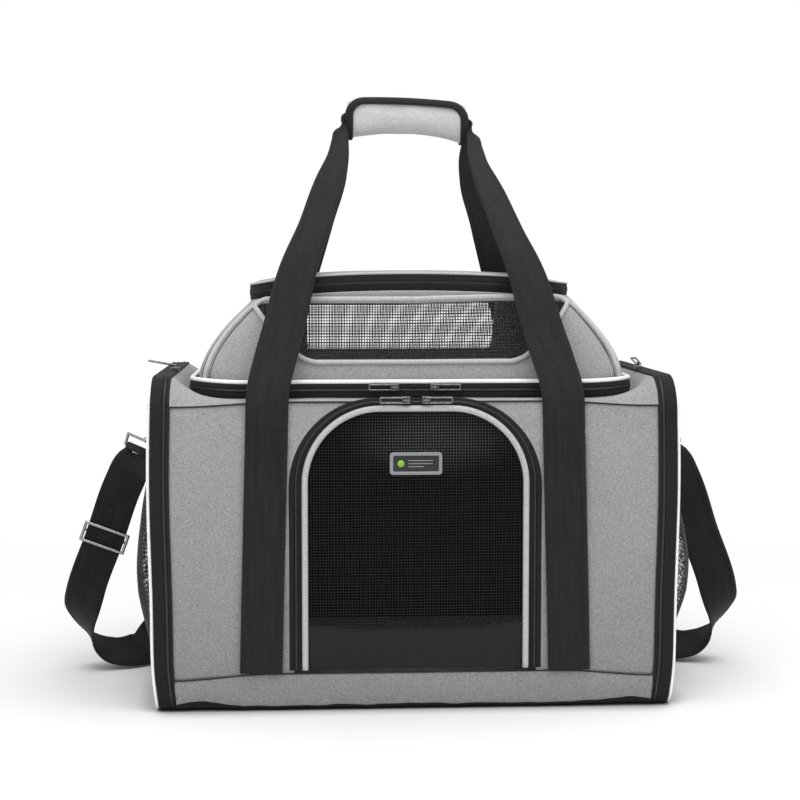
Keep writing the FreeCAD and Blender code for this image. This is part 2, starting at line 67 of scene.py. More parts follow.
# body
HALF_DEPTH = 145.0
HEIGHT = 300.0
TOP_RADIUS = 30.0
FLOOR_RADIUS = 14.0
PANEL_END = 218.6             # half length of the cloth between the end zips
SEAM_Z = 278.8                # front and rear seams under the top panel, at mid length
SADDLE_Z = 280.2              # lowest level of the top panel
SADDLE_RISE = 18.8            # and its rise to the end rims
END_ZIP_X = 222.4
END_PIPING_X = 236.0
HOOD_BAND = (204.0, 126.0, 46.0)    # hood zip band: half length, half depth, corner radius

# end pockets
POCKET_HALF = 116.5
POCKET_LIP = 9.0
POCKET_DEPTH = {-1: 17.0, 1: 33.0}

NET_PITCH = 2.62

# hood: half length, half depth and level at its foot and its head
FOOT_X, FOOT_Y, FOOT_Z = 195.0, 119.0, 283.0
HEAD_X, HEAD_Y, HEAD_Z = 148.0, 86.0, 366.0
HOOD_CROWN = 11.5             # outward crown of the walls at mid height
HOOD_EDGE_Z = 365.2
WINDOW_FOOT_Z = 312.3
TOP_RING = (147.6, 84.0, 25.0)
TOP_RING_Z = 371.9
LID_ZIP = (148.6, 80.5, 30.0)
LID_COIL_Z = 379.5

WEB_WIDTH = 38
BADGE_Z = 223.5


# ------------------------------------------------------------------ shader helpers
def feed(tree, target, inputs):
    """Sets each input of a node to a value, or links it to a socket."""
    for key, value in inputs.items():
        if isinstance(value, bpy.types.NodeSocket):
            tree.links.new(value, target.inputs[key])
        else:
            target.inputs[key].default_value = value


def add_node(tree, kind, inputs, **settings):
    new = tree.nodes.new("ShaderNode" + kind)
    for key, value in settings.items():
        setattr(new, key, value)
    feed(tree, new, inputs)
    return new


def find_node(tree, kind):
    return next(n for n in tree.nodes if n.type == kind)


def new_material(name):
    material = bpy.data.materials.new(name)
    material.use_nodes = True
    tree = material.node_tree
    return material, tree, find_node(tree, "BSDF_PRINCIPLED")


def object_coords(tree):
    return add_node(tree, "TexCoord", {}).outputs["Object"]


def noise_fac(tree, vector, scale, detail=2.0, roughness=0.5):
    settings = {"Scale": scale, "Detail": detail, "Roughness": roughness, "Vector": vector}
    return add_node(tree, "TexNoise", settings).outputs["Fac"]


def ramp(tree, fac, stops):
    """Colour ramp; each stop is (position, grey level or colour)."""
    new = add_node(tree, "ValToRGB", {"Fac": fac})
    elements = new.color_ramp.elements
    while len(elements) < len(stops):
        elements.new(0.5)
    for i, (position, colour) in enumerate(stops):
        elements[i].position = position
        if isinstance(colour, (int, float)):
            colour = (colour,) * 3
        elements[i].color = (*colour, 1)
    return new.outputs["Color"]


def calc(tree, first, second, operation="MULTIPLY"):
    return add_node(tree, "Math", {0: first, 1: second}, operation=operation).outputs[0]


def tinted(tree, first, second):
    """Product of two colours."""
    return add_node(tree, "Mix", {0: 1.0, 6: first, 7: second},
                    data_type="RGBA", blend_type="MULTIPLY").outputs[2]


def add_bump(tree, shader, height, strength, distance):
    new = add_node(tree, "Bump", {"Strength": strength, "Distance": distance, "Height": height})
    feed(tree, shader, {"Normal": new.outputs[0]})


# ------------------------------------------------------------------ materials
def fabric(name, low, mid, high, rough=0.92, thread=1.1, bump=0.35, sheen=0.25,
           tint=(1, 1, 1)):
    """Mottled woven cloth: dark and pale yarns, crossed threads, and painted shade that darkens it
    near the floor.
    """
    material, tree, shader = new_material(name)
    coords = object_coords(tree)

    def yarn_noise(stretch, **settings):
        stretched = add_node(tree, "Mapping", {"Scale": stretch, "Vector": coords})
        return noise_fac(tree, stretched.outputs[0], 1.0, **settings)

    level = yarn_noise((520, 520, 1500), detail=3.0, roughness=0.75)
    upright = yarn_noise((1600, 1600, 620))
    yarn = calc(tree, calc(tree, level, 0.62), calc(tree, upright, 0.38), "ADD")
    colour = ramp(tree, yarn, [(stop, tuple(shade * c for c in tint))
                               for stop, shade in ((0.37, low), (0.5, mid), (0.64, high))])
    patches = ramp(tree, noise_fac(tree, coords, 9.0, detail=3.0), [(0.3, 0.95), (0.7, 1.03)])
    colour = tinted(tree, colour, patches)
    # painted shade: darker over the lowest 0.24 m
    height = add_node(tree, "SeparateXYZ", {0: coords}).outputs[2]
    painted_low_shade = add_node(tree, "MapRange", {"From Min": 0.0, "From Max": 0.24, "To Min": 0.76,
                                       "To Max": 1.0, "Value": height})
    colour = tinted(tree, colour, painted_low_shade.outputs[0])
    bands = [add_node(tree, "TexWave",
                      {"Scale": 314 / thread, "Distortion": 0.6, "Detail": 1.0,
                       "Detail Scale": 2.0, "Vector": coords},
                      wave_type="BANDS", bands_direction=direction).outputs["Fac"]
             for direction in "XZ"]
    weave = calc(tree, *bands, "ADD")
    relief = calc(tree, calc(tree, weave, 0.5), calc(tree, yarn, 0.8), "ADD")
    add_bump(tree, shader, relief, strength=bump, distance=0.0006)
    feed(tree, shader, {"Base Color": colour, "Roughness": rough, "Sheen Weight": sheen,
                        "Sheen Roughness": 0.5, "Specular IOR Level": 0.2})
    return material


def ribbed(name, dark, pale, ribs=26):
    """Webbing: lengthwise ribs and short cross picks, from the UV (u across, v along in mm)."""
    material, tree, shader = new_material(name)
    uv_map = add_node(tree, "UVMap", {}, uv_map="uv")
    split = add_node(tree, "SeparateXYZ", {0: uv_map.outputs[0]})
    across, along = split.outputs[0], split.outputs[1]
    phase = calc(tree, calc(tree, across, 2 * pi * ribs), 0, "ADD")
    rib = calc(tree, phase, 0, "SINE")
    row = calc(tree, calc(tree, across, ribs), 0, "FLOOR")
    odd = calc(tree, row, 2.0, "MODULO")
    # picks repeat each 1.6 mm and are staggered from one rib to the next
    pick = calc(tree, calc(tree, calc(tree, along, 2 * pi / 1.6), calc(tree, odd, pi), "ADD"),
                0, "SINE")
    relief = calc(tree, calc(tree, rib, 0.55), calc(tree, pick, 0.35), "ADD")
    relief = calc(tree, calc(tree, relief, 0.5), 0.5, "ADD")
    patches = noise_fac(tree, object_coords(tree), 40.0, detail=4.0)
    # painted sheen: long streaks where groups of ribs are darker
    sheen_streak_at = add_node(tree, "CombineXYZ", {0: calc(tree, across, 9.0),
                                              1: calc(tree, along, 0.018)})
    painted_sheen_streaks = ramp(tree, noise_fac(tree, sheen_streak_at.outputs[0], 1.0, detail=3.0),
                   [(0.34, 0.5), (0.66, 1.0)])
    shade = calc(tree, calc(tree, relief, 0.75), calc(tree, patches, 0.35), "ADD")
    colour = ramp(tree, calc(tree, shade, painted_sheen_streaks),
                  [(0.1, (dark, dark, dark * 1.02)), (0.85, (pale, pale, pale * 1.02))])
    add_bump(tree, shader, relief, strength=0.9, distance=0.0012)
    feed(tree, shader, {"Base Color": colour, "Roughness": 0.6, "Specular IOR Level": 0.3,
                        "Sheen Weight": 0.03})
    return material


def speckled(name, low, high, rough, scale=900, metallic=0.0, bump=0.15, spec=0.4, sheen=0.0,
             detail=3.0):
    """Fine noise between two colours, which also varies the roughness and the surface."""
    material, tree, shader = new_material(name)
    grain = noise_fac(tree, object_coords(tree), scale, detail=detail)
    colour = ramp(tree, grain, [(0.3, low), (0.7, high)])
    roughness = ramp(tree, grain, [(0.3, max(rough - 0.08, 0.02)), (0.7, min(rough + 0.08, 1.0))])
    add_bump(tree, shader, grain, strength=bump, distance=0.0004)
    feed(tree, shader, {"Base Color": colour, "Roughness": roughness, "Metallic": metallic,
                        "Specular IOR Level": spec, "Sheen Weight": sheen})
    return material


def painted_sheen_patch(material):
    """Paints a sheen highlight into the door's net colour over an oval patch below its crown."""
    tree = material.node_tree
    colour = find_node(tree, "BSDF_PRINCIPLED").inputs["Base Color"]
    source = colour.links[0].from_socket
    oval = add_node(tree, "Mapping", {"Location": (-0.17, 0.0, -7.6), "Scale": (13.0, 0.0, 31.0),
                                      "Vector": object_coords(tree)})
    distance = add_node(tree, "VectorMath", {0: oval.outputs[0]}, operation="LENGTH")
    sheen_gain = add_node(tree, "MapRange",
                    {"From Min": 0.2, "From Max": 1.15, "To Min": 9.0, "To Max": 1.0,
                     "Value": distance.outputs["Value"]}, interpolation_type="SMOOTHSTEP")
    scaled = add_node(tree, "VectorMath", {0: source, "Scale": sheen_gain.outputs[0]},
                      operation="SCALE")
    tree.links.new(scaled.outputs[0], colour)
    return material


COOL = (0.985, 0.985, 1.0)
MAT = {
    "grey": fabric("grey_melange", low=0.20, mid=0.305, high=0.42, tint=COOL),
    "grey_light": fabric("grey_melange_grip", low=0.40, mid=0.52, high=0.64, tint=COOL),
    "black": fabric("black_woven", low=0.008, mid=0.015, high=0.028, rough=0.85, sheen=0.05,
                    bump=0.5),
    "lining": fabric("black_lining", low=0.002, mid=0.004, high=0.008, rough=0.95, sheen=0.0),
    "band": fabric("dark_band", low=0.008, mid=0.014, high=0.024, rough=0.6, sheen=0.05,
                   bump=0.4),
    "tape": fabric("zip_tape", low=0.006, mid=0.012, high=0.022, rough=0.75, sheen=0.04,
                   thread=0.9, bump=0.5),
    "coil": speckled("zip_coil", low=(0.008, 0.008, 0.009), high=(0.022, 0.022, 0.023),
                     rough=0.4, scale=500, spec=0.45),
    "net": speckled("net_yarn", low=(0.006, 0.006, 0.007), high=(0.022, 0.022, 0.023),
                    rough=0.38, spec=0.55),
    # the door's net carries a painted sheen highlight below its crown
    "net_door": painted_sheen_patch(speckled("net_yarn_door", low=(0.003, 0.003, 0.0032),
                                    high=(0.011, 0.011, 0.0115), rough=0.42, spec=0.35)),
    "net_pocket": speckled("net_yarn_pocket", low=0.016, high=0.05, rough=0.45, spec=0.5),
    "white_pipe": speckled("white_piping", low=(0.78, 0.78, 0.76), high=(0.90, 0.90, 0.88),
                           rough=0.55, scale=260, bump=0.3),
    "grey_pipe": speckled("grey_piping", low=(0.36, 0.36, 0.37), high=(0.50, 0.50, 0.51),
                          rough=0.6, scale=600, bump=0.4, sheen=0.2),
    "web": ribbed("webbing", dark=0.001, pale=0.021),
    "bind": ribbed("binding_tape", dark=0.006, pale=0.018, ribs=8),
    "metal": speckled("dark_nickel", low=(0.09, 0.09, 0.095), high=(0.20, 0.20, 0.205),
                      rough=0.3, scale=700, metallic=1.0, bump=0.1),
    "buckle": speckled("buckle_nickel", low=(0.25, 0.25, 0.255), high=(0.42, 0.42, 0.43),
                       rough=0.26, scale=600, metallic=1.0, bump=0.1),
    "bright": speckled("pull_nickel", low=(0.10, 0.10, 0.105), high=(0.26, 0.26, 0.27),
                       rough=0.24, scale=500, metallic=1.0, bump=0.1),
    "badge_rim": speckled("badge_rim", low=(0.20, 0.21, 0.22), high=(0.27, 0.28, 0.29),
                          rough=0.45, bump=0.2),
    "badge": speckled("badge_face", low=0.012, high=0.022, rough=0.4, bump=0.2),
    "green": speckled("badge_green", low=(0.16, 0.42, 0.04), high=(0.24, 0.55, 0.06),
                      rough=0.45, bump=0.2),
    "thread": speckled("thread_black", low=0.006, high=0.02, rough=0.6),
    "thread_grey": speckled("thread_grey", low=(0.16, 0.16, 0.17), high=(0.26, 0.26, 0.27),
                            rough=0.6),
    "board": speckled("stiff_board", low=0.02, high=0.05, rough=0.7, scale=200),
    "fleece": speckled("fleece", low=(0.30, 0.30, 0.29), high=(0.55, 0.55, 0.53), rough=0.98,
                       scale=420, bump=1.0, sheen=0.4, detail=6),
    "wire": speckled("spring_wire", low=0.3, high=0.45, rough=0.35, scale=400, metallic=1.0),
}


# ------------------------------------------------------------------ curves and noise
def unit(rows):
    rows = np.asarray(rows, float)
    return rows / np.maximum(np.linalg.norm(rows, axis=-1, keepdims=True), 1e-12)


def arc_length(path):
    return np.concatenate([[0], np.cumsum(np.linalg.norm(np.diff(path, axis=0), axis=1))])


def resample(points, step, closed=False):
    path = np.asarray(points, float)
    if closed:
        path = np.vstack([path, path[:1]])
    travelled = arc_length(path)
    count = max(int(round(travelled[-1] / step)), 2)
    places = np.linspace(0, travelled[-1], count + 1)
    out = np.stack([np.interp(places, travelled, path[:, k]) for k in range(path.shape[1])], 1)
    return out[:-1] if closed else out


def tangents(path, closed=False):
    if closed:
        return unit(np.roll(path, -1, 0) - np.roll(path, 1, 0))
    return unit(np.gradient(path, axis=0))


def nearest(points, source):
    """Index of the closest source point for each point."""
    return ((points[:, None, :] - source[None, :, :]) ** 2).sum(2).argmin(1)


def circle(radius, count):
    angle = np.linspace(0, 2 * pi, count, endpoint=False)
    return np.stack([radius * np.cos(angle), radius * np.sin(angle)], 1)


def arc(centre_x, centre_y, radius, start, end, count):
    angle = np.radians(np.linspace(start, end, count))
    return np.stack([centre_x + radius * np.cos(angle), centre_y + radius * np.sin(angle)], 1)


def round_rect(half_x, half_y, radius, count):
    """Closed rounded rectangle, counter-clockwise from the right side's upper end."""
    cx, cy = half_x - radius, half_y - radius
    return np.vstack([arc(cx, cy, radius, 0, 90, count), arc(-cx, cy, radius, 90, 180, count),
                      arc(-cx, -cy, radius, 180, 270, count),
                      arc(cx, -cy, radius, 270, 360, count)])


def arch_path(half, foot, top, radius, count):
    """Open (x, z) path from the left foot over the top to the right foot."""
    return np.vstack([[(-half, foot)],
                      arc(-half + radius, top - radius, radius, 180, 90, count),
                      arc(half - radius, top - radius, radius, 90, 0, count),
                      [(half, foot)]])


def in_arch(x, z, half, top, radius):
    over_x, over_z = np.abs(x) - (half - radius), z - (top - radius)
    cut_corner = (over_x > 0) & (over_z > 0) & (np.hypot(over_x, over_z) > radius)
    return (np.abs(x) < half) & (z < top) & ~cut_corner


def rect_distance(x, y, half_x, half_y, radius):
    """Signed distance to a rounded rectangle, negative inside."""
    dx, dy = np.abs(x) - half_x + radius, np.abs(y) - half_y + radius
    outside = np.hypot(np.maximum(dx, 0), np.maximum(dy, 0))
    return outside + np.minimum(np.maximum(dx, dy), 0) - radius


def rect_normals(points, *rect):
    """Outward level normals, from the slope of the distance to the rounded rectangle."""
    x, y = points[:, 0], points[:, 1]
    return unit(np.column_stack([
        rect_distance(x + 0.1, y, *rect) - rect_distance(x - 0.1, y, *rect),
        rect_distance(x, y + 0.1, *rect) - rect_distance(x, y - 0.1, *rect),
        np.zeros(len(points))]))


def smooth(share):
    share = np.clip(share, 0, 1)
    return share * share * (3 - 2 * share)


def noise_at(x, y, z):
    return noise.noise(Vector((x, y, z)))


def soft_noise(points, scale, seed):
    """Smooth noise of about -1 to 1 at points in mm."""
    return np.array([noise_at(x / scale + seed, y / scale - seed, z / scale + 0.37 * seed)
                     for x, y, z in points])


def spline(points, step):
    """Smooth curve through rows of numbers whose first three are a position."""
    rows = np.asarray(points, float)
    travelled = arc_length(rows[:, :3])
    gap = np.diff(travelled)
    slope = np.diff(rows, axis=0) / gap[:, None]
    tangent = np.zeros_like(rows)
    tangent[0], tangent[-1] = slope[0], slope[-1]
    for i in range(1, len(rows) - 1):
        tangent[i] = (slope[i - 1] * gap[i] + slope[i] * gap[i - 1]) / (gap[i] + gap[i - 1])
    count = max(int(travelled[-1] / step), 2)
    places = np.linspace(0, travelled[-1], count + 1)
    k = np.clip(np.searchsorted(travelled, places, side="right") - 1, 0, len(rows) - 2)
    t = ((places - travelled[k]) / gap[k])[:, None]
    span = gap[k][:, None]
    return ((2 * t ** 3 - 3 * t ** 2 + 1) * rows[k] + (t ** 3 - 2 * t ** 2 + t) * span * tangent[k]
            + (-2 * t ** 3 + 3 * t ** 2) * rows[k + 1] + (t ** 3 - t ** 2) * span * tangent[k + 1])


# ------------------------------------------------------------------ mesh helpers
def add_mesh(name, verts, faces, mat, uv=None, body="carrier"):
    """Makes a smooth-shaded object from vertices in mm and lets it ride on a body."""
    mesh = bpy.data.meshes.new(name)
    mesh.from_pydata((np.asarray(verts, float) * MM).tolist(), [],
                     [list(map(int, face)) for face in faces])
    mesh.update()
    if uv is not None:
        layer = mesh.uv_layers.new(name="uv")
        corners = np.zeros(len(mesh.loops), np.int32)
        mesh.loops.foreach_get("vertex_index", corners)
        layer.data.foreach_set("uv", np.asarray(uv, np.float32)[corners].ravel())
    mesh.polygons.foreach_set("use_smooth", [True] * len(mesh.polygons))
    piece = bpy.data.objects.new(name, mesh)
    SCENE.collection.objects.link(piece)
    mesh.materials.append(MAT[mat])
    if body:
        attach(piece, body)
    return piece


def set_material(piece, mat):
    piece.data.materials.clear()
    piece.data.materials.append(MAT[mat])


def get_coords(piece):
    return np.array([v.co for v in piece.data.vertices]) / MM


def set_coords(piece, points):
    piece.data.vertices.foreach_set("co", (points * MM).ravel())
    piece.data.update()


def recalc(piece):
    work = bmesh.new()
    work.from_mesh(piece.data)
    bmesh.ops.recalc_face_normals(work, faces=work.faces)
    work.to_mesh(piece.data)
    work.free()


def drop_loose(piece):
    work = bmesh.new()
    work.from_mesh(piece.data)
    loose = [v for v in work.verts if not v.link_faces]
    bmesh.ops.delete(work, geom=loose, context="VERTS")
    work.to_mesh(piece.data)
    work.free()


def face_towards(piece, direction):
    """Turns a sheet so that most of it faces the direction."""
    direction = Vector(direction)
    if sum(p.normal.dot(direction) * p.area for p in piece.data.polygons) < 0:
        piece.data.flip_normals()


def apply_modifiers(piece):
    evaluated = piece.evaluated_get(bpy.context.evaluated_depsgraph_get())
    mesh = bpy.data.meshes.new_from_object(evaluated)
    old = piece.data
    piece.modifiers.clear()
    piece.data = mesh
    mesh.name = old.name


def solidify(piece, thickness, offset=-1.0):
    modifier = piece.modifiers.new("solid", "SOLIDIFY")
    modifier.thickness = thickness * MM
    modifier.offset = offset
    modifier.use_even_offset = True
    apply_modifiers(piece)


def to_net(piece, thickness, mat):
    """Turns the edges of a sheet into yarns."""
    modifier = piece.modifiers.new("yarns", "WIREFRAME")
    modifier.thickness = thickness * MM
    modifier.use_even_offset = False
    modifier.use_boundary = True
    modifier.use_replace = True
    apply_modifiers(piece)
    set_material(piece, mat)


def tell(replaces=None):
    if replaces:
        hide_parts(replaces)


def grid_faces(rows, cols, closed=False):
    """Quads between rows of points; closed joins each row's last column to its first."""
    faces = []
    for i in range(rows - 1):
        for j in range(cols if closed else cols - 1):
            j2 = (j + 1) % cols
            faces.append((i * cols + j, i * cols + j2, (i + 1) * cols + j2, (i + 1) * cols + j))
    return faces


def end_caps(rows, cols):
    return [tuple(range(cols))[::-1], tuple((rows - 1) * cols + j for j in range(cols))]


def flat_grid(columns, rows):
    """Flattened coordinates and faces of a plane grid."""
    across, up = np.meshgrid(columns, rows)
    return across.ravel(), up.ravel(), grid_faces(len(rows), len(columns))


def join(parts):
    """Merges (vertices, faces, uv) parts into one."""
    verts, faces, uvs, offset = [], [], [], 0
    for part_verts, part_faces, part_uv in parts:
        verts.append(part_verts)
        uvs.append(part_uv)
        faces += [[i + offset for i in face] for face in part_faces]
        offset += len(part_verts)
    return np.vstack(verts), faces, np.vstack(uvs)


def sweep(path, normals, section, closed=False):
    """Sweeps a ring of (side, normal) points along a path, with side = tangent x normal.
    The section may differ at each path point. Returns vertices, faces and UVs."""
    path = np.asarray(path, float)
    count = len(path)
    along = tangents(path, closed)
    normals = np.asarray(normals, float)
    if normals.ndim == 1:
        normals = np.tile(normals, (count, 1))
    normals = unit(normals - along * np.sum(normals * along, 1, keepdims=True))
    side = np.cross(along, normals)
    section = np.asarray(section, float)
    if section.ndim == 2:
        section = np.tile(section, (count, 1, 1))
    size = section.shape[1]
    verts = (path[:, None, :] + side[:, None, :] * section[:, :, 0:1]
             + normals[:, None, :] * section[:, :, 1:2])
    uv = np.zeros((count, size, 2))
    across = section[0, :, 0]
    uv[:, :, 0] = ((across - across.min()) / max(np.ptp(across), 1e-9))[None, :]
    uv[:, :, 1] = arc_length(path)[:, None]
    faces = []
    for i in range(count if closed else count - 1):
        i2 = (i + 1) % count
        for j in range(size):
            j2 = (j + 1) % size
            faces.append((i * size + j, i2 * size + j, i2 * size + j2, i * size + j2))
    if not closed:
        faces += end_caps(count, size)
    return verts.reshape(-1, 3), faces, uv.reshape(-1, 2)


def tube(path, radius, closed=False, count=10, normal=(0.13, 0.21, 0.97)):
    return sweep(path, normal, circle(radius, count), closed)


def solid(name, data, mat, replaces=None, body="carrier", uv=False):
    """Object from swept or joined data, normals outward."""
    piece = add_mesh(name, data[0], data[1], mat, uv=data[2] if uv else None, body=body)
    recalc(piece)
    tell(replaces)
    return piece


def sheet(name, verts, faces, mat, facing, thickness, replaces=None, body="carrier"):
    """Cloth that faces a direction and is thickened behind it."""
    piece = add_mesh(name, verts, faces, mat, body=body)
    recalc(piece)
    drop_loose(piece)
    face_towards(piece, facing)
    solidify(piece, thickness)
    tell(replaces)


def sew(name, parts, body="carrier", reshape=lambda verts: verts):
    """Joins stitches or cords into one black thread object."""
    verts, faces, _ = join(parts)
    piece = add_mesh(name, reshape(verts), faces, "thread", body=body)
    return piece


def stitches(path, normals, length, gap, radius=0.32, lift=0.15):
    """Short raised stitches along a path."""
    path = resample(path, length + gap)
    along = tangents(path)
    parts = []
    for i in range(len(path) - 1):
        if normals.ndim == 1:
            normal = normals
        else:
            normal = normals[min(int(i * len(normals) / len(path)), len(normals) - 1)]
        ahead = along[i]
        start, end = path[i] - ahead * length / 2, path[i] + ahead * length / 2
        line = [start - normal * 0.3, start + ahead * 0.5 + normal * lift,
                (start + end) / 2 + normal * (lift + 0.1), end - ahead * 0.5 + normal * lift,
                end - normal * 0.3]
        parts.append(sweep(line, normal, circle(radius, 5)))
    return parts


# ------------------------------------------------------------------ zips
def zip_section(width, rise=0.9, channel=3.2):
    """Flat zip: two tapes with a channel between them for the coil."""
    half = width / 2.0
    left = [(-half, -0.4), (-half, 0.25), (-half + 0.9, rise * 0.75), (-half * 0.55, rise * 0.8),
            (-channel * 0.75, rise), (-channel / 2, rise * 0.95), (-channel / 2, 0.1)]
    return np.array(left + [(-x, z) for x, z in left[::-1]])


def coil(path, normals, closed=False, radius=1.0, width=1.35, lift=0.55):
    """Two interlocked rows of coil, as a toothed bead; four path points to a 1.9 mm pitch."""
    path = resample(path, 1.9 / 4.0, closed)
    normals = np.asarray(normals, float)
    if normals.ndim == 2:
        place = np.linspace(0, len(normals) - 1, len(path))
        low = np.floor(place).astype(int)
        high = np.minimum(low + 1, len(normals) - 1)
        share = (place - low)[:, None]
        normals = unit(normals[low] * (1 - share) + normals[high] * share)
    ring = circle(1.0, 8) * (width, radius)
    phase = (np.arange(len(path)) * (2 * pi / 4.0))[:, None]
    grow = np.where(ring[:, 0] > 0, 1.0 + 0.22 * np.sin(phase), 1.0 + 0.22 * np.sin(phase + pi))
    section = np.stack([ring[:, 0] * grow,
                        ring[:, 1] * (0.85 + 0.15 * np.cos(phase * 2)) + lift], 2)
    return sweep(path, normals, section, closed)


def zip_loop(name, path, normals, section, replaces, step=5.0):
    """Closed zip: tape and coil, with the resampled path and its normals."""
    source = np.asarray(path, float)
    path = resample(source, step, True)
    normals = normals[nearest(path, source)]
    normals = unit(np.roll(normals, 1, 0) + normals + np.roll(normals, -1, 0))
    tape = solid(name, sweep(path, normals, section, True), "tape", uv=True)
    teeth = solid(name + "_coil", coil(path, normals, True), "coil")
    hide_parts(replaces)
    return tape, teeth, path, normals


# ------------------------------------------------------------------ body shape
def end_outline(inset=0.0, count=12):
    """Closed (y, z) outline: up the front, over the top and down the rear."""
    half, bottom, top = HALF_DEPTH - inset, inset, HEIGHT - inset
    upper, lower = TOP_RADIUS - inset, FLOOR_RADIUS - inset
    return np.vstack([arc(-half + lower, bottom + lower, lower, 270, 180, count),
                      arc(-half + upper, top - upper, upper, 180, 90, count),
                      arc(half - upper, top - upper, upper, 90, 0, count),
                      arc(half - lower, bottom + lower, lower, 0, -90, count)])


def outline_normals(outline):
    along = tangents(np.column_stack([np.zeros(len(outline)), outline]), True)
    normals = np.cross(along, np.array([1.0, 0, 0]))
    outward = np.sign(np.sum(normals[:, 1:] * (outline - outline.mean(0)), 1))
    return normals * outward[:, None]


def top_z(x, y):
    """Top panel: level inside the hood band, rising towards the end rims."""
    from_band = np.maximum(rect_distance(x, y, *HOOD_BAND), 0)
    from_end = np.maximum(219.0 - np.abs(x), 0.01)
    return SADDLE_Z + SADDLE_RISE * smooth(from_band / (from_band + from_end))


def seam_z(x):
    return SEAM_Z - 4.2 * smooth((np.abs(x) - 120) / 91.0)


def base_z(x):
    return 33.7 - 5.5 * smooth((np.abs(x) - 130) / 88.0)


def end_belly(z):
    """Outward shift of the ends at height z."""
    return 2.4 * np.exp(-((z - 200) / 80.0) ** 2) - 3.8 * np.exp(-(z / 26.0) ** 2)


def swell(verts):
    """Bellies the ends outwards at mid height, draws them in low down, stays off the floor."""
    verts = np.array(verts, float)
    x = verts[:, 0]
    verts[:, 0] += np.sign(x) * smooth((np.abs(x) - 196.0) / 20.0) * end_belly(verts[:, 2])
    verts[:, 2] = np.maximum(verts[:, 2], 0.1)
    return verts


def both_halves(x, profile):
    """Cross-section at x from its front half, which ends at y = 0."""
    profile = np.array(profile)
    full = np.vstack([profile, profile[:-1][::-1] * (-1, 1)])
    return np.column_stack([np.full(len(full), x), full])


def build_top():
    """Saddle that rises to the end rims and rolls over the front and rear edges."""
    rows = []
    for x in np.concatenate([np.linspace(-PANEL_END, -180, 19), np.linspace(-172, 172, 58),
                             np.linspace(180, PANEL_END, 19)]):
        rise = (float(top_z(x, HALF_DEPTH)) - SADDLE_Z) / SADDLE_RISE
        radius = 6.0 + 22.0 * rise
        inner_y = -HALF_DEPTH + radius
        seam = float(seam_z(x))
        centre = float(top_z(x, inner_y)) - radius
        profile = [(-HALF_DEPTH, seam)]
        if centre > seam:
            profile.append((-HALF_DEPTH, (seam + centre) / 2))
        else:
            profile.append((-HALF_DEPTH + 0.05, seam + 0.3))
        for angle in np.linspace(8, 90, 9):
            turn = math.radians(angle)
            profile.append((-HALF_DEPTH + radius * (1 - math.cos(turn)),
                            max(centre + radius * math.sin(turn), seam + 0.35 + 0.008 * angle)))
        for share in np.linspace(0, 1, 26)[1:]:
            y = inner_y * (1 - share)
            profile.append((y, float(top_z(x, y))))
        rows.append(both_halves(x, profile))
    verts = np.vstack(rows)

    def under_hood(face):
        x, y, z = verts[list(face)].mean(0)
        return z > 277.5 and rect_distance(x, y, 188, 112, 34) < 0

    faces = [f for f in grid_faces(len(rows), len(rows[0])) if not under_hood(f)]
    wrinkle = soft_noise(verts, 46, 2.0) * 0.9 + soft_noise(verts, 21, 5.0) * 0.35
    fade = np.minimum(1, np.maximum(0, (PANEL_END - np.abs(verts[:, 0])) / 25))
    verts[:, 2] += wrinkle * fade * np.where(np.abs(verts[:, 1]) > 143, 0, 1)
    sheet("top_panel_cloth", swell(verts), faces, "grey", (0, 0, 1), 2.2,
          "top_panel")


def cut_doorway(verts, faces, seam_top, half=109.5, top=279.0, radius=76.0):
    """Drops the faces inside the arch and moves the cut edge onto it."""
    centres = [verts[list(f)].mean(0) for f in faces]
    faces = [f for f, c in zip(faces, centres) if not in_arch(c[0], c[2], half, top, radius)]
    uses = np.bincount(np.ravel(faces), minlength=len(verts))
    rim = resample(arch_path(half, 20, top, radius, 40), 1.0)
    for i in range(len(verts)):
        x, z = verts[i, 0], verts[i, 2]
        near = abs(x) < half + 5 and 45 < z < top + 5 and z < seam_top - 0.5
        if 0 < uses[i] < 4 and near:
            distance = np.hypot(rim[:, 0] - x, rim[:, 1] - z)
            j = distance.argmin()
            if distance[j] < 5:
                verts[i, 0], verts[i, 2] = rim[j]
    return faces


def build_panel(facing, side, doorway, seed):
    """Front or rear wall between the end zips: padded cloth, crowned between its seams."""
    x, share, faces = flat_grid(np.linspace(-PANEL_END, PANEL_END, 133), np.linspace(0, 1, 73))
    low, high = base_z(x) - 0.2, seam_z(x)
    verts = np.column_stack([x, np.zeros(len(x)), low + (high - low) * share])
    if doorway:
        faces = cut_doorway(verts, faces, high.max())
    from_end = np.minimum(1, (PANEL_END - np.abs(verts[:, 0])) / 22)
    from_seam = np.minimum(1, np.minimum(verts[:, 2] - 30, 280 - verts[:, 2]) / 18)
    crown = np.sqrt(np.clip(from_end, 0, 1)) * np.sqrt(np.clip(from_seam, 0, 1))
    wrinkle = (soft_noise(verts, 70, seed) * 1.1
               + soft_noise(verts * np.array([1, 1, 0.5]), 30, seed + 3) * 0.45)
    out = 2.2 * crown + wrinkle * crown - 1.2
    if doorway:
        # flatter under the webbing
        out -= 0.9 * np.exp(-(np.abs(np.abs(verts[:, 0]) - 136) / 19) ** 4)
    verts[:, 1] = facing * (HALF_DEPTH + np.clip(out, -3, 0.9))
    sheet(side + "_panel_cloth", swell(verts), faces, "grey", (0, facing, 0), 2.4,
          side + "_panel")


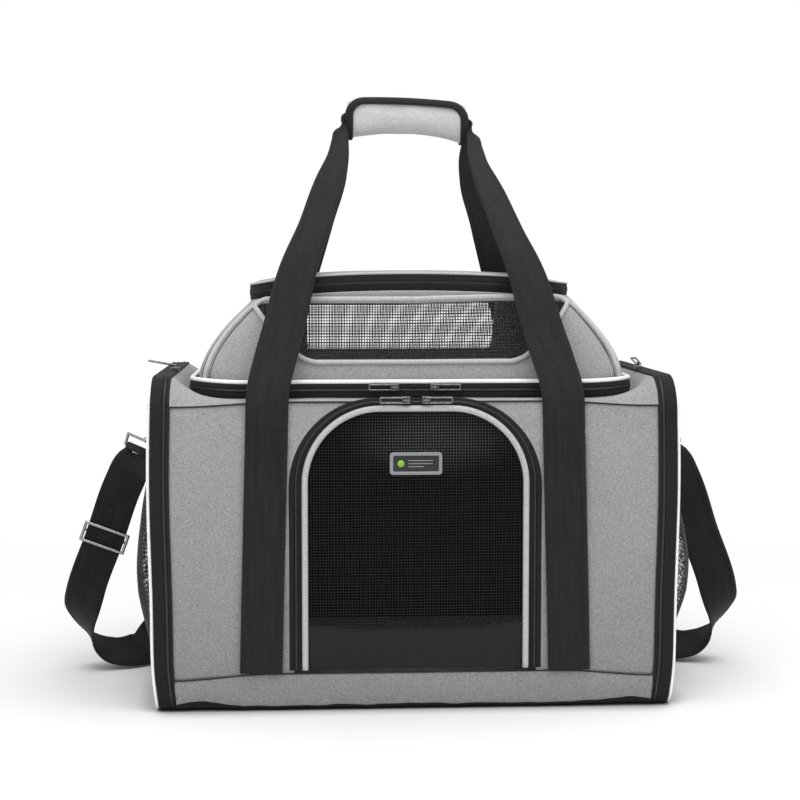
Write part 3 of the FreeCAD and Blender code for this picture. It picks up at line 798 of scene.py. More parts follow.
def build_base():
    """Grey band round the foot with a puckered lower edge, and the black underside."""
    rows = []
    for x in np.linspace(-PANEL_END, PANEL_END, 147):
        top = float(base_z(x))
        pucker = noise_at(x / 38.0, 1.7, 0.2) * 2.2 + noise_at(x / 15.0, 4.1, 0.7) * 0.9
        low = max(5.2 + 4.6 * math.exp(-((abs(x) - 200) / 24) ** 2) + 0.8 * pucker, 3.2)
        profile = [(-HALF_DEPTH - (0.9 + 0.2 * pucker) * math.sin(pi * share),
                    top + (low - top) * share) for share in np.linspace(0, 1, 13)]
        for angle in (25, 50, 75):
            turn = math.radians(angle)
            profile.append((-144.2 + 8.5 * (1 - math.cos(turn)) * 1.2,
                            max(low - low * math.sin(turn) * 0.9, 0.5)))
        profile += [(y, 0.3) for y in (-132, -118, -100, -75, -50, -25, 0)]
        rows.append(both_halves(x, profile))
    cols = len(rows[0])
    cover = add_mesh("base_cover_cloth", swell(np.vstack(rows)), grid_faces(len(rows), cols),
                     "grey")
    cover.data.materials.append(MAT["black"])
    recalc(cover)
    face_towards(cover, (0, 0, -1))
    for polygon in cover.data.polygons:
        if 12 <= polygon.index % (cols - 1) < cols - 13:
            polygon.material_index = 1
    solidify(cover, 2.0)
    tell("base_cover")


def build_seam_cords():
    """Thread cords where the front and rear cloth meets the top and the base."""
    x = np.linspace(-218.4, 218.4, 94)
    for facing, side in FACES:
        for name, y, level, radius, slot in (("top", 145.3, seam_z, 0.75, "black_fabric"),
                                             ("base", 145.2, base_z, 0.5, "grey_fabric")):
            path = swell(np.column_stack([x, np.full(94, facing * y), level(x)]))
            sew("%s_seam_%s" % (name, side), [tube(path, radius, count=8)])


# ------------------------------------------------------------------ ends
# zip section (outward along X, height): narrow tape inside the coil, wide ribbed tape outside
END_ZIP_SECTION = np.array([
    (-4.6, -0.5), (-4.6, 0.2), (-3.8, 0.9), (-2.6, 1.05), (-1.6, 0.9), (-1.5, 0.1),
    (1.5, 0.1), (1.6, 0.9), (2.5, 1.15), (3.5, 0.8), (4.4, 0.35), (5.3, 0.8), (6.6, 1.2),
    (7.8, 0.8), (8.6, 0.35), (9.4, 0.8), (10.6, 1.2), (11.8, 0.8), (12.4, 0.2), (12.4, -0.5)])


def build_end_zip(end, side):
    outline = end_outline()
    path = np.column_stack([np.full(len(outline), end * END_ZIP_X), outline])
    tape, teeth, path, normals = zip_loop(
        "end_zip_%s_tape" % side, path, outline_normals(outline), END_ZIP_SECTION * (end, 1.0),
        "end_zip_" + side)
    for piece in (tape, teeth):
        set_coords(piece, swell(get_coords(piece)))
    # rows of stitches: (outward offset, height over the tape's base)
    parts = []
    for offset, lift in ((8.6, 0.3), (4.4, 0.3), (-3.4, 0.85)):
        row = path + (end * offset, 0, 0) + normals * lift
        centres = resample(row, 4.2, True)
        row_normals = normals[nearest(centres, row)]
        for centre, normal, ahead in zip(centres, row_normals, tangents(centres, True)):
            line = [centre - ahead * 1.3 - normal * 0.2, centre + normal * 0.25,
                    centre + ahead * 1.3 - normal * 0.2]
            parts.append(sweep(line, normal, circle(0.32, 5)))
    sew("end_zip_%s_stitches" % side, parts, reshape=swell)


def build_end_piping(end, side):
    outline = end_outline(1.9, 14)
    path = resample(np.column_stack([np.full(len(outline), end * END_PIPING_X), outline]),
                    4.0, True)
    path[:, 0] += 0.3 * soft_noise(path, 40, 3.0 + end)
    solid("end_piping_%s_cord" % side, tube(swell(path), 1.75, True, 12), "white_pipe",
          "end_piping" if end < 0 else None)


def build_end_panel(end, side, rings=26):
    """Padded sheet inside the piping, as rings that shrink to the middle."""
    outline = end_outline(3.8, 14)
    centre = np.array([0.0, HEIGHT / 2])
    verts = []
    for k in range(rings):
        share = 1 - k / rings
        for y, z in centre + (outline - centre) * share:
            crown = 2.4 * (1 - share ** 3)
            wrinkle = 0.6 * noise_at(y / 55.0, z / 55.0, 3.3 + end) * (1 - share ** 4)
            x = 232.8 + crown + wrinkle + (end_belly(z) + 1.0) * share ** 4
            verts.append((end * x, y, z))
    size = len(outline)
    faces = grid_faces(rings, size, True) + [end_caps(rings, size)[1]]
    sheet("end_panel_%s_cloth" % side, verts, faces, "black", (end, 0, 0), 1.6,
          "end_panel_" + side)


def hex_grid(radius, half, bottom, top):
    """Hexagon mesh as (y, z) points and faces with shared corners."""
    width, height = math.sqrt(3) * radius, 1.5 * radius
    points, index, faces = [], {}, []
    for row in range(int((top - bottom) / height) + 1):
        for col in range(int(2 * half / width) + 1):
            y = -half + col * width + (width / 2 if row % 2 else 0)
            z = bottom + row * height
            if abs(y) > half - 1 or z > top - 1:
                continue
            face = []
            for k in range(6):
                turn = math.radians(60 * k + 30)
                corner = (y + radius * math.cos(turn), z + radius * math.sin(turn))
                key = (round(corner[0] * 20), round(corner[1] * 20))
                if key not in index:
                    index[key] = len(points)
                    points.append(corner)
                face.append(index[key])
            faces.append(face)
    return np.array(points), faces


def build_pocket(end, side):
    """Bulging hexagon net, open at its top, with a bound mouth and sewn edges."""
    depth = POCKET_DEPTH[end]
    points, faces = hex_grid(2.7, 114.0, 34.0, 196.0)
    y, z = points[:, 0], points[:, 1]
    across = np.clip(np.abs(y) / POCKET_HALF, 0, 1)
    fill = np.clip((z - 30) / 60.0, 0, 1)
    belly = (np.sin(pi * np.clip((z - 26) / 190.0, 0, 1)) ** 0.8
             * (1.15 - 0.45 * (z - 30) / 170))
    x = (236.2 + (POCKET_LIP + depth * belly) * (1 - across ** 2.2)
         * (0.35 + 0.65 * np.sqrt(fill)))
    x += (np.array([noise_at(a / 34.0, b / 34.0, 1.0 + end) for a, b in points])
          * 1.4 * (1 - across ** 2))
    net = add_mesh("pocket_net_" + side, np.column_stack([end * x, y, z]), faces, "net_pocket")
    to_net(net, 0.72, "net_pocket")
    tell("end_pockets" if end < 0 else None)

    y = np.linspace(-115.5, 115.5, 60)
    x = 236.4 + (POCKET_LIP + depth * 0.20) * (1 - np.abs(y / POCKET_HALF) ** 2.2)
    path = np.column_stack([end * x, y, 198.0 - 2.5 * (1 - (y / 116) ** 2)])
    section = [(-5, -0.7), (5, -0.7), (5.3, 0), (5, 0.7), (-5, 0.7), (-5.3, 0)]
    solid("pocket_rim_" + side, sweep(path, (end, 0, 0), section), "bind",
          uv=True)

    edge = [(-115.5, 199), (-115.5, 60), (-113, 40), (-105, 33),
            (105, 33), (113, 40), (115.5, 60), (115.5, 199)]
    path = resample([(end * 236.6, y, z) for y, z in edge], 6)
    section = [(-4, -0.6), (4, -0.6), (4, 0.6), (-4, 0.6)]
    solid("pocket_edge_" + side, sweep(path, (end, 0, 0), section), "bind",
          uv=True)


def build_lining():
    """Dark sheets inside the front, rear and ends; the front one has the doorway cut out."""
    parts = []
    for facing, _ in FACES:
        x, z, faces = flat_grid(np.linspace(-209, 209, 40), np.linspace(26, 272, 24))
        verts = np.column_stack([x, np.full(len(x), facing * 140.2), z])
        if facing < 0:
            centres = [verts[list(f)].mean(0) for f in faces]
            faces = [f for f, c in zip(faces, centres) if not (abs(c[0]) < 108 and c[2] < 268)]
        parts.append((verts, faces, np.zeros((len(verts), 2))))
    for end, _ in ENDS:
        y, z, faces = flat_grid(np.linspace(-139, 139, 20), np.linspace(26, 290, 20))
        verts = np.column_stack([np.full(len(y), end * 229.6), y, z])
        parts.append((verts, faces, np.zeros((len(verts), 2))))
    verts, faces, _ = join(parts)
    lining = add_mesh("lining", verts, faces, "lining")
    drop_loose(lining)
    solidify(lining, 0.8, 0)


build_top()
build_panel(-1, "front", doorway=True, seed=1.0)
build_panel(1, "rear", doorway=False, seed=9.0)
build_base()
build_seam_cords()
for end, side in ENDS:
    build_end_zip(end, side)
    build_end_piping(end, side)
    build_end_panel(end, side)
for end, side in ENDS:
    build_pocket(end, side)
build_lining()


# ------------------------------------------------------------------ door
def square_net(name, half, bottom, top, inside, place, thickness, body, mat):
    """Square net over the cells whose centre is inside; place gives the 3D points."""
    cols = int(round(2 * half / NET_PITCH))
    rows = int(round((top - bottom) / NET_PITCH))
    x, z, faces = flat_grid(np.linspace(-half, half, cols + 1),
                            np.linspace(bottom, top, rows + 1))
    faces = [f for f in faces
             if inside((x[f[0]] + x[f[2]]) / 2, (z[f[0]] + z[f[2]]) / 2)]
    net = add_mesh(name, place(x, z), faces, mat, body=body)
    drop_loose(net)
    to_net(net, thickness, mat)
    return net


def door_surface(x, z):
    across = np.clip(1 - (np.abs(x) / 98.0) ** 2, 0, 1)
    up = np.clip((z - 42) / 60, 0, 1) * np.clip((275 - z) / 40, 0, 1)
    ripple = np.array([noise_at(a / 60.0, b / 44.0, 7.7) for a, b in zip(x, z)])
    y = -145.6 - 1.6 * across * np.sqrt(up) - 0.8 * ripple * across * up
    return np.column_stack([x, y, z])


def door_arch(half, foot, top, radius, y):
    path = arch_path(half, foot, top, radius, 30)
    return np.column_stack([path[:, 0], np.full(len(path), y), path[:, 1]])


def build_door():
    net = square_net("door_net", 99, 74, 272, lambda x, z: in_arch(x, z, 98.5, 272.4, 67),
                     door_surface, 1.0, "door", "net_door")
    tell("door_mesh")

    # cloth band below the net
    x, z, faces = flat_grid(np.linspace(-98, 98, 50), np.linspace(37.5, 77, 12))
    verts = np.column_stack([x, np.full(len(x), -145.4), z])
    verts[:, 1] -= 0.8 * np.clip((z - 41) / 20, 0, 1) + 0.35 * soft_noise(verts, 30, 4)
    sheet("door_lower_cloth", verts, faces, "band", (0, -1, 0), 1.3,
          "door_lower_band", body="door")

    # from the inside out: piping, moving tape, coil, fixed tape
    path = resample(door_arch(99.4, 37.5, 272.8, 67.5, -147.0), 4.0)
    solid("door_piping_cord", tube(path, 2.75, count=12, normal=(0, -1, 0.05)), "grey_pipe",
          "door_piping", "door")
    path = resample(door_arch(104.6, 37.5, 276.6, 72.0, -145.6), 4.0)
    section = [(-2.2, -1.0), (2.2, -1.0), (2.2, 0.6), (1.6, 1.1), (0.0, 0.8), (-1.8, 1.0),
               (-2.2, 0.5)]
    solid("door_zip_edge_tape", sweep(path, (0, -1, 0), section), "tape",
          "door_zip_edge", "door", uv=True)
    path = door_arch(107.4, 37.5, 278.6, 74.0, -146.2)
    solid("door_zip_coil", coil(path, (0, -1, 0), radius=0.8, width=1.0, lift=0.5), "coil")
    path = resample(door_arch(111.0, 37.0, 279.8, 77.0, -145.4), 4.0)
    section = [(-2.6, -0.8), (2.4, -0.8), (2.4, 0.8), (1.2, 1.2), (-1.6, 1.0), (-2.6, 0.5)]
    solid("door_zip_fixed_tape", sweep(path, (0, -1, 0), section), "tape",
          "door_zip_tape", uv=True)


build_door()


# ------------------------------------------------------------------ hood
def bow(x):
    """Height of the lid's arch: up in the middle, drooping at the ends."""
    share = np.clip(np.abs(x) / 147.0, 0, 1.1)
    return 5.2 - 6.7 * share ** 2 - np.where(x < 0, 2.8, 0.3) * share ** 5


def slim_z(x, z):
    """Thins the lid's stack towards its ends, more so on the right."""
    keep = 1.0 - 0.30 * smooth((x - 95.0) / 50.0) - 0.10 * smooth((-x - 105.0) / 40.0)
    middle = LID_COIL_Z + bow(x)
    return middle + (z - middle) * keep


def slim(data):
    verts = data[0].copy()
    verts[:, 2] = slim_z(verts[:, 0], verts[:, 2])
    return verts, data[1], data[2]


def hood_lift(x):
    """Extra height of the hood's top edge, more in the middle and to the right."""
    room = slim_z(x, TOP_RING_Z + bow(x)) - HOOD_EDGE_Z - 0.9
    return np.clip(np.minimum(4.2 + 2.3 * np.clip(x / 80.0, 0, 1), room), 0.6, 7.0)


def fold(piece):
    """Lifts the soft walls to the top edge."""
    for vertex in piece.data.vertices:
        z = vertex.co.z / MM
        if z > 286.0:
            share = min((z - 286.0) / 79.0, 1.0)
            vertex.co.z += float(hood_lift(vertex.co.x / MM)) * share ** 1.5 * MM
    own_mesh(piece)


def hood_share(z):
    return (z - FOOT_Z) / (HEAD_Z - FOOT_Z)


def hood_size(share, out=0.0):
    """Half length and half depth at a share of the height, crowned between foot and head."""
    crown = 4.0 * share * (1 - share) * HOOD_CROWN
    return (FOOT_X + (HEAD_X - FOOT_X) * share ** 1.2 + out + crown,
            FOOT_Y + (HEAD_Y - FOOT_Y) * share ** 1.05 + out + crown * 0.45)


def corner_radius(share):
    return 40.0 - 17.0 * smooth(share / 0.3)


def hood_y(x, z, out):
    """Depth of the hood's front or rear wall, as a positive y."""
    share = hood_share(z)
    half_x, half_y = hood_size(share, out)
    radius = corner_radius(share)
    past = np.maximum(np.abs(x) - (half_x - radius), 0)
    return half_y - radius + np.sqrt(np.maximum(radius * radius - past * past, 0))


def seam_x(z):
    """Half width of the slanted seam between the front or rear panel and the gusset."""
    share = hood_share(z)
    return hood_size(share)[0] - 6.5 - 10.0 * smooth((share - 0.86) / 0.2)


def window_half(z, facing):
    """Half width of the window: a bowl at the front, a plain oblong at the rear."""
    share = np.clip((z - WINDOW_FOOT_Z) / 49.7, 0, 1)
    if facing > 0:
        return 97 + 4 * share
    return np.minimum(92 + 54 * share ** 0.65, seam_x(z) - 0.8)


def in_window(x, z, facing):
    return WINDOW_FOOT_Z < z < 362.5 and abs(x) < window_half(z, facing)


def hood_wall(name, out, rows, keep, replaces):
    """Cloth over the part of the hood whose face centres pass the keep test."""
    cols = 260
    rings = []
    for k in range(rows + 1):
        share = k / rows
        half_x, half_y = hood_size(share, out)
        outline = round_rect(half_x, half_y, corner_radius(share) + out * 0.5, 20)
        ring = resample(outline, (half_x + half_y) / 100.0, True)
        ring = ring[np.linspace(0, len(ring) - 1, cols).astype(int)]
        rings.append(np.column_stack([ring, np.full(cols, FOOT_Z + (HEAD_Z - FOOT_Z) * share)]))
    verts = np.vstack(rings)
    faces = [f for f in grid_faces(rows + 1, cols, True) if keep(*verts[list(f)].mean(0))]
    wrinkle = soft_noise(verts, 48, 6.0) * 1.0 + soft_noise(verts, 20, 1.5) * 0.3
    fade = np.clip((verts[:, 2] - 290) / 14, 0, 1) * np.clip((364 - verts[:, 2]) / 14, 0, 1)
    outward = unit(np.column_stack([verts[:, 0] / 1.6, verts[:, 1], np.zeros(len(verts))]))
    wall = add_mesh(name, verts + outward * (wrinkle * fade)[:, None], faces, "grey")
    recalc(wall)
    drop_loose(wall)
    if sum(p.normal.dot(Vector((p.center.x, p.center.y, 0))) * p.area
           for p in wall.data.polygons) < 0:
        wall.data.flip_normals()
    solidify(wall, 2.0)
    tell(replaces)
    fold(wall)


def build_hood_walls():
    for facing, side in FACES:
        def on_panel(x, y, z):
            return (y * facing > 0 and abs(x) < seam_x(z) + 1.5
                    and not in_window(x, z, facing))

        hood_wall("hood_%s_cloth" % side, 0.0, 40, on_panel, "hood_%s_panel" % side)
    hood_wall("hood_gusset_cloth", -0.2, 30, lambda x, y, z: abs(x) >= seam_x(z) - 3,
              "hood_gussets")


def build_hood_windows():
    for facing, side in FACES:
        def inside(x, z):
            return abs(x) < window_half(min(max(z, 312.4), 362), facing) + 3.5

        def surface(x, z):
            return np.column_stack([x, facing * hood_y(x, z, -0.9), z])

        net = square_net("hood_net_" + side, 149, 309.3, 365.5, inside, surface, 1.05,
                         "carrier", "net")
        fold(net)
    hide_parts("hood_windows")


def build_hood_piping():
    parts = []
    for facing, _ in FACES:
        # round the sides and foot of the window
        z = np.linspace(363, WINDOW_FOOT_Z, 34)
        left = np.column_stack([-window_half(z, facing), z])
        foot = np.column_stack([np.linspace(-90, 90, 40), np.full(40, 311.8)])
        x, z = np.vstack([left, foot, left[::-1] * (-1, 1)]).T
        path = np.column_stack([x, facing * hood_y(x, z, 1.0), z])
        parts.append(tube(resample(path, 3.0), 2.2))
        # up the slanted seam, then along the top edge to the middle
        for end, _ in ENDS:
            z = np.linspace(284, 364.5, 40)
            x = seam_x(z)
            seam = np.column_stack([end * x, facing * hood_y(x, z, 0.9), z])
            x = np.linspace(seam_x(364.5) - 4, 0, 24)
            top = np.column_stack([end * x, facing * hood_y(x, 364.8, 0.4), np.full(24, 365.0)])
            parts.append(tube(resample(np.vstack([seam, top]), 3.0), 2.5))
    fold(solid("hood_piping_cords", join(parts), "grey_pipe", "hood_piping"))


def build_gusset_stitching():
    """A line of stitching on each side of every slanted seam."""
    parts = []
    z = np.linspace(290, 363, 34)
    for facing, _ in FACES:
        for end, _ in ENDS:
            for offset in (-4.2, 3.2):
                x = seam_x(z) + offset
                path = np.column_stack([end * x, facing * hood_y(x, z, 0.15), z])
                parts.append(tube(resample(path, 3), 0.35, count=6))
    fold(sew("hood_gusset_stitching", parts))


def build_hood_foot():
    """Zip band round the hood's foot, with white piping on top."""
    def end_rise(x):
        return 4.2 * np.clip(np.abs(x) / FOOT_X, 0, 1) ** 2

    half_x, half_y, radius = HOOD_BAND
    outline = round_rect(half_x - 0.3, half_y - 0.3, radius, 18)
    path = np.column_stack([outline, 284.9 + end_rise(outline[:, 0])])
    tape = zip_loop("hood_zip_band_tape", path, rect_normals(outline, *HOOD_BAND),
                    zip_section(12.4), "hood_zip_band", step=4.0)[0]
    outline = round_rect(half_x - 1.5, half_y - 1.5, radius - 1, 18)
    path = resample(np.column_stack([outline, 292.5 + end_rise(outline[:, 0])]), 4.0, True)
    path[:, 2] += 0.3 * soft_noise(path, 50, 8.0)
    solid("hood_base_piping_cord", tube(path, 2.1, True, 12), "white_pipe",
          "hood_base_piping")


def build_top_ring():
    """Cloth ring between the hood's top edge and the lid zip."""
    outline = resample(round_rect(*TOP_RING, 18), 4.0, True)
    x = outline[:, 0]
    low, high = HOOD_EDGE_Z + hood_lift(x), slim_z(x, TOP_RING_Z + bow(x))
    path = np.column_stack([outline, (low + high) / 2])
    # (share of the half height, outward)
    shape = np.array([(1, -4), (-1, -4), (-1, -0.4), (-0.6, 0.6), (-0.05, 0.2), (0.05, 0.2),
                      (0.6, 0.7), (1, -0.2)])
    section = np.tile(shape, (len(x), 1, 1))
    section[:, :, 0] *= ((high - low) / 2)[:, None]
    solid("hood_top_ring_cloth", sweep(path, rect_normals(outline, *TOP_RING), section, True),
          "grey", "hood_top_ring", "hood_top")


def build_lid_zip():
    """Fixed tape, coil, rear hinge strip and moving tape. Returns the moving tape's line."""
    outline = resample(round_rect(*LID_ZIP, 18), 4.0, True)
    normals = rect_normals(outline, *LID_ZIP)
    arch = bow(outline[:, 0])
    section = [(4.0, -1.6), (4.0, 0.0), (3.0, 0.7), (-1.5, 1.0), (-2.4, 1.5), (-3.6, 1.2),
               (-3.6, -1.2)]
    tape = sweep(np.column_stack([outline, 375.1 + arch]), normals, section, True)
    solid("lid_zip_fixed_tape", slim(tape), "tape", "lid_zip_tape", "hood_top",
          uv=True)
    teeth = coil(np.column_stack([outline, LID_COIL_Z + arch]), normals, True, radius=0.95,
                 width=0.9, lift=0.6)
    solid("lid_zip_coil", slim(teeth), "coil", body="hood_top")

    x, z, faces = flat_grid(np.linspace(-108, 108, 50), np.linspace(377, 386.0, 5))
    verts = np.column_stack([x, np.full(len(x), 79.6), z + bow(x)])
    sheet("lid_hinge_strip", verts, faces, "black", (0, 1, 0), 1.6,
          body="hood_top")

    # the moving tape is an open path round the front and both sides
    opens = (outline[:, 1] < 68) | (np.abs(outline[:, 0]) > 106)
    start = np.where(~opens)[0].max() + 1
    opens = np.roll(opens, -start)
    line = np.roll(outline, -start, 0)[opens]
    line_normals = np.roll(normals, -start, 0)[opens]
    section = [(3.6, -1.2), (3.6, 1.3), (2.2, 1.5), (1.0, 1.0), (-2.6, 0.9), (-3.6, 0.4),
               (-3.6, -1.2)]
    tape = sweep(np.column_stack([line, 383.9 + bow(line[:, 0])]), line_normals, section)
    solid("lid_zip_edge_tape", slim(tape), "tape", "lid_zip_edge", "lid", uv=True)
    return line


build_hood_walls()
build_hood_windows()
build_hood_piping()
build_gusset_stitching()
build_hood_foot()
build_top_ring()
lid_line = build_lid_zip()


# ------------------------------------------------------------------ padded pieces
def inflate(piece, travel, pressure, frames):
    """Runs the cloth solver under pressure and caps how far each point moves, in mm."""
    modifier = piece.modifiers.new("cloth", "CLOTH")
    settings = modifier.settings
    settings.quality = 6
    settings.mass = 0.25
    settings.tension_stiffness = 18
    settings.compression_stiffness = 18
    settings.shear_stiffness = 8
    settings.bending_stiffness = 0.6
    settings.use_pressure = True
    settings.uniform_pressure_force = pressure
    settings.effector_weights.gravity = 0.0
    modifier.collision_settings.use_collision = False
    modifier.point_cache.frame_start = 1
    modifier.point_cache.frame_end = frames
    rest = get_coords(piece)
    for number in range(1, frames + 1):
        SCENE.frame_set(number)
    moved = get_coords(piece.evaluated_get(bpy.context.evaluated_depsgraph_get()))
    piece.modifiers.clear()
    shift = moved - rest
    length = np.linalg.norm(shift, axis=1, keepdims=True)
    shift = np.where(length > travel, shift / np.maximum(length, 1e-6) * travel, shift)
    set_coords(piece, rest + shift)
    SCENE.frame_set(1)


def puff(piece, mat, travel, voxel, pressure=4.0, frames=20):
    """Remeshes a closed solid, inflates it so that it crowns and creases, and smooths it."""
    modifier = piece.modifiers.new("remesh", "REMESH")
    modifier.mode = "VOXEL"
    modifier.voxel_size = voxel * MM
    apply_modifiers(piece)
    inflate(piece, travel, pressure, frames)
    modifier = piece.modifiers.new("subdivide", "SUBSURF")
    modifier.levels = modifier.render_levels = 1
    apply_modifiers(piece)
    piece.data.polygons.foreach_set("use_smooth", [True] * len(piece.data.polygons))
    set_material(piece, mat)


def fit_box(points, low, high):
    """Stretches points to fill a box."""
    old_low, old_high = points.min(0), points.max(0)
    low, high = np.array(low, float), np.array(high, float)
    return low + (points - old_low) / np.maximum(old_high - old_low, 1e-9) * (high - low)


def slab(half_x, half_y, radius, bottom, top):
    """Closed rounded slab, inset by 1 mm at its sides and 3 mm at its top and bottom."""
    verts = []
    for share, inset in ((0, 3.0), (0.3, 1.0), (0.7, 1.0), (1, 3.0)):
        ring = round_rect(half_x - inset, half_y - inset, radius - inset, 8)
        verts += [(x, y, bottom + (top - bottom) * share) for x, y in ring]
    size = len(ring)
    return np.array(verts), grid_faces(4, size, True) + end_caps(4, size)


def build_lid(line):
    verts, faces = slab(147.0, 80.0, 30.0, 389.4, 394.4)
    verts[:, 1] = np.minimum(verts[:, 1], 77.0)
    cushion = add_mesh("lid_cushion", verts, faces, "grey", body=None)
    puff(cushion, "grey", travel=5.0, voxel=4.0)
    verts = fit_box(get_coords(cushion), (-149.0, -81.0, 385.0), (149.0, 79.6, 391.0))
    verts[:, 2] += bow(verts[:, 0]) - 0.5 + 0.5 * soft_noise(verts, 60, 12.0)
    verts[:, 2] = slim_z(verts[:, 0], verts[:, 2])
    set_coords(cushion, verts)
    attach(cushion, "lid")
    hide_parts("lid_panel")
    # cord round the rim
    path = np.column_stack([line * 1.003, 388.0 + bow(line[:, 0])])[1:-1]
    solid("lid_rim_cord", slim(tube(path, 1.2)), "grey_pipe", body="lid")


def build_floor_mat():
    verts, faces = slab(202.0, 133.0, 14.0, 9.5, 20.5)
    fleece = add_mesh("floor_mat_fleece", verts, faces, "fleece", body=None)
    puff(fleece, "fleece", travel=6.0, voxel=6.0)
    verts = get_coords(fleece)
    verts[:, 2] += soft_noise(verts, 12, 2.2) * 0.8 * (verts[:, 2] > 15)
    set_coords(fleece, fit_box(verts, (-203, -134, 7.9), (203, 134, 24.0)))
    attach(fleece, "carrier")
    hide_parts("floor_mat")


build_lid(lid_line)
build_floor_mat()


# ------------------------------------------------------------------ webbing
def tilt(points):
    """Lowers the grip and the webbing near it, a little more on the right."""
    points = np.array(points, float)
    x, z = points[:, 0], points[:, 2]
    drop = 3.6 + 0.04 * x + 2.6 * np.clip(np.abs(x) / 60.0, 0, 1.15) ** 2
    points[:, 2] -= drop * smooth((z - 440.0) / 80.0)
    return points


def web_section(width, thick):
    """Webbing cross-section with thinned edges."""
    x = np.linspace(-width / 2 + 0.9, width / 2 - 0.9, 11)
    top = np.column_stack([x, np.full(11, thick / 2)])
    edge = thick * 0.32
    return np.vstack([[(-width / 2, -edge)], [(-width / 2, edge)], top,
                      [(width / 2, edge)], [(width / 2, -edge)], top[::-1] * (1, -1)])


# (height, spread, outward push) of the buckling of the sewn webbing
WEB_BUCKLES = ((252.0, 5.0, 1.3), (151.0, 4.0, 0.8), (196.0, 9.0, -0.5), (96.0, 10.0, -0.5))


def strip(rows, thick, step, ripple=0.0, seed=1.0):
    """Webbing through rows of (x, y, z, across x, across y, across z, width).
    Returns the mesh data, path, across directions, face normals and widths."""
    curve = spline(rows, step)
    path, across, width = curve[:, :3], unit(curve[:, 3:6]), curve[:, 6]
    along = tangents(path)
    across = unit(across - along * np.sum(across * along, 1, keepdims=True))
    normals = unit(np.cross(across, along))
    if ripple:
        push = soft_noise(path, 45, seed) * ripple + 0.5 * ripple * soft_noise(path, 17, seed + 2)
        z = path[:, 2]
        for level, spread, size in WEB_BUCKLES:
            push = push - size * np.exp(-((z - level) / spread) ** 2) * (z < 300)
        outward = 1.0 if np.mean(normals[:, 1] * path[:, 1]) > 0 else -1.0
        path = path + normals * (outward * push)[:, None]
    section = np.array([web_section(w, thick) for w in width])
    verts, faces, uv = sweep(path, normals, section)
    return (tilt(verts), faces, uv), tilt(path), across, normals, width


def edge_stitches(path, across, normals, width, thick, start, stop):
    """Stitch rows 3.2 mm in from both edges, on the face that the normals leave."""
    length, gap = 2.6, 1.7
    parts = []
    for edge in (-1, 1):
        row = (path + across * (edge * (width / 2 - 3.2))[:, None]
               + normals * (thick / 2 + 0.02))
        placed = resample(np.column_stack([row, normals])[start:stop], length + gap)
        centres, faced = placed[:, :3], unit(placed[:, 3:6])
        along = tangents(centres)
        for i in range(len(centres) - 1):
            first = centres[i] - along[i] * length / 2
            last = centres[i] + along[i] * length / 2
            line = [first - faced[i] * 0.25, first * 0.7 + last * 0.3 + faced[i] * 0.2,
                    first * 0.3 + last * 0.7 + faced[i] * 0.2, last - faced[i] * 0.25]
            parts.append(sweep(line, faced[i], circle(0.3, 5)))
    return parts


# One leg of a handle, from the base up the panel and in to the grip, in outward terms:
# (x at the front, x at the rear, y, z, across x, across y, across z, width)
HANDLE_LEG = np.array([
    (139.0, 139.0, 147.9, 34.8, 1, 0, 0, 38), (137.6, 137.6, 147.9, 90.0, 1, 0, 0, 38),
    (135.9, 135.9, 147.9, 150.0, 1, 0, 0, 38), (134.2, 134.2, 147.9, 210.0, 1, 0, 0, 38),
    (133.2, 133.2, 147.9, 245.0, 1, 0, 0, 38), (132.6, 132.6, 147.9, 268.0, 1, 0, 0, 38),
    (132.2, 132.2, 147.3, 281.0, 1, 0, 0, 38), (131.0, 131.0, 144.2, 292.0, 1, 0, 0, 38),
    (125.5, 125.5, 131.0, 315.0, 1, 0, 0, 38), (119.0, 119.0, 119.0, 338.0, 1, 0, 0, 38),
    (105.0, 101.0, 90.0, 395.0, 0.97, 0.24, 0, 36.5),
    (87.5, 85.0, 64.5, 442.0, 0.86, 0.5, 0, 35),
    (74.0, 71.0, 42.0, 485.0, 0.85, 0.5, 0.1, 32),
    (66.5, 64.5, 28.0, 511.0, 0.8, 0.45, 0.3, 24),
    (64.5, 63.5, 17.5, 526.0, 0.75, 0.25, 0.5, 18),
    (62.5, 62.0, 10.5, 537.0, 0.55, 0, 0.8, 16),
    (56.5, 56.5, 7.5, 542.5, 0.25, 0, 0.97, 16),
    (46.0, 46.0, 7.0, 543.5, 0.05, 0, 1.0, 16), (20.0, 20.0, 7.0, 543.5, 0, 0, 1.0, 16)])


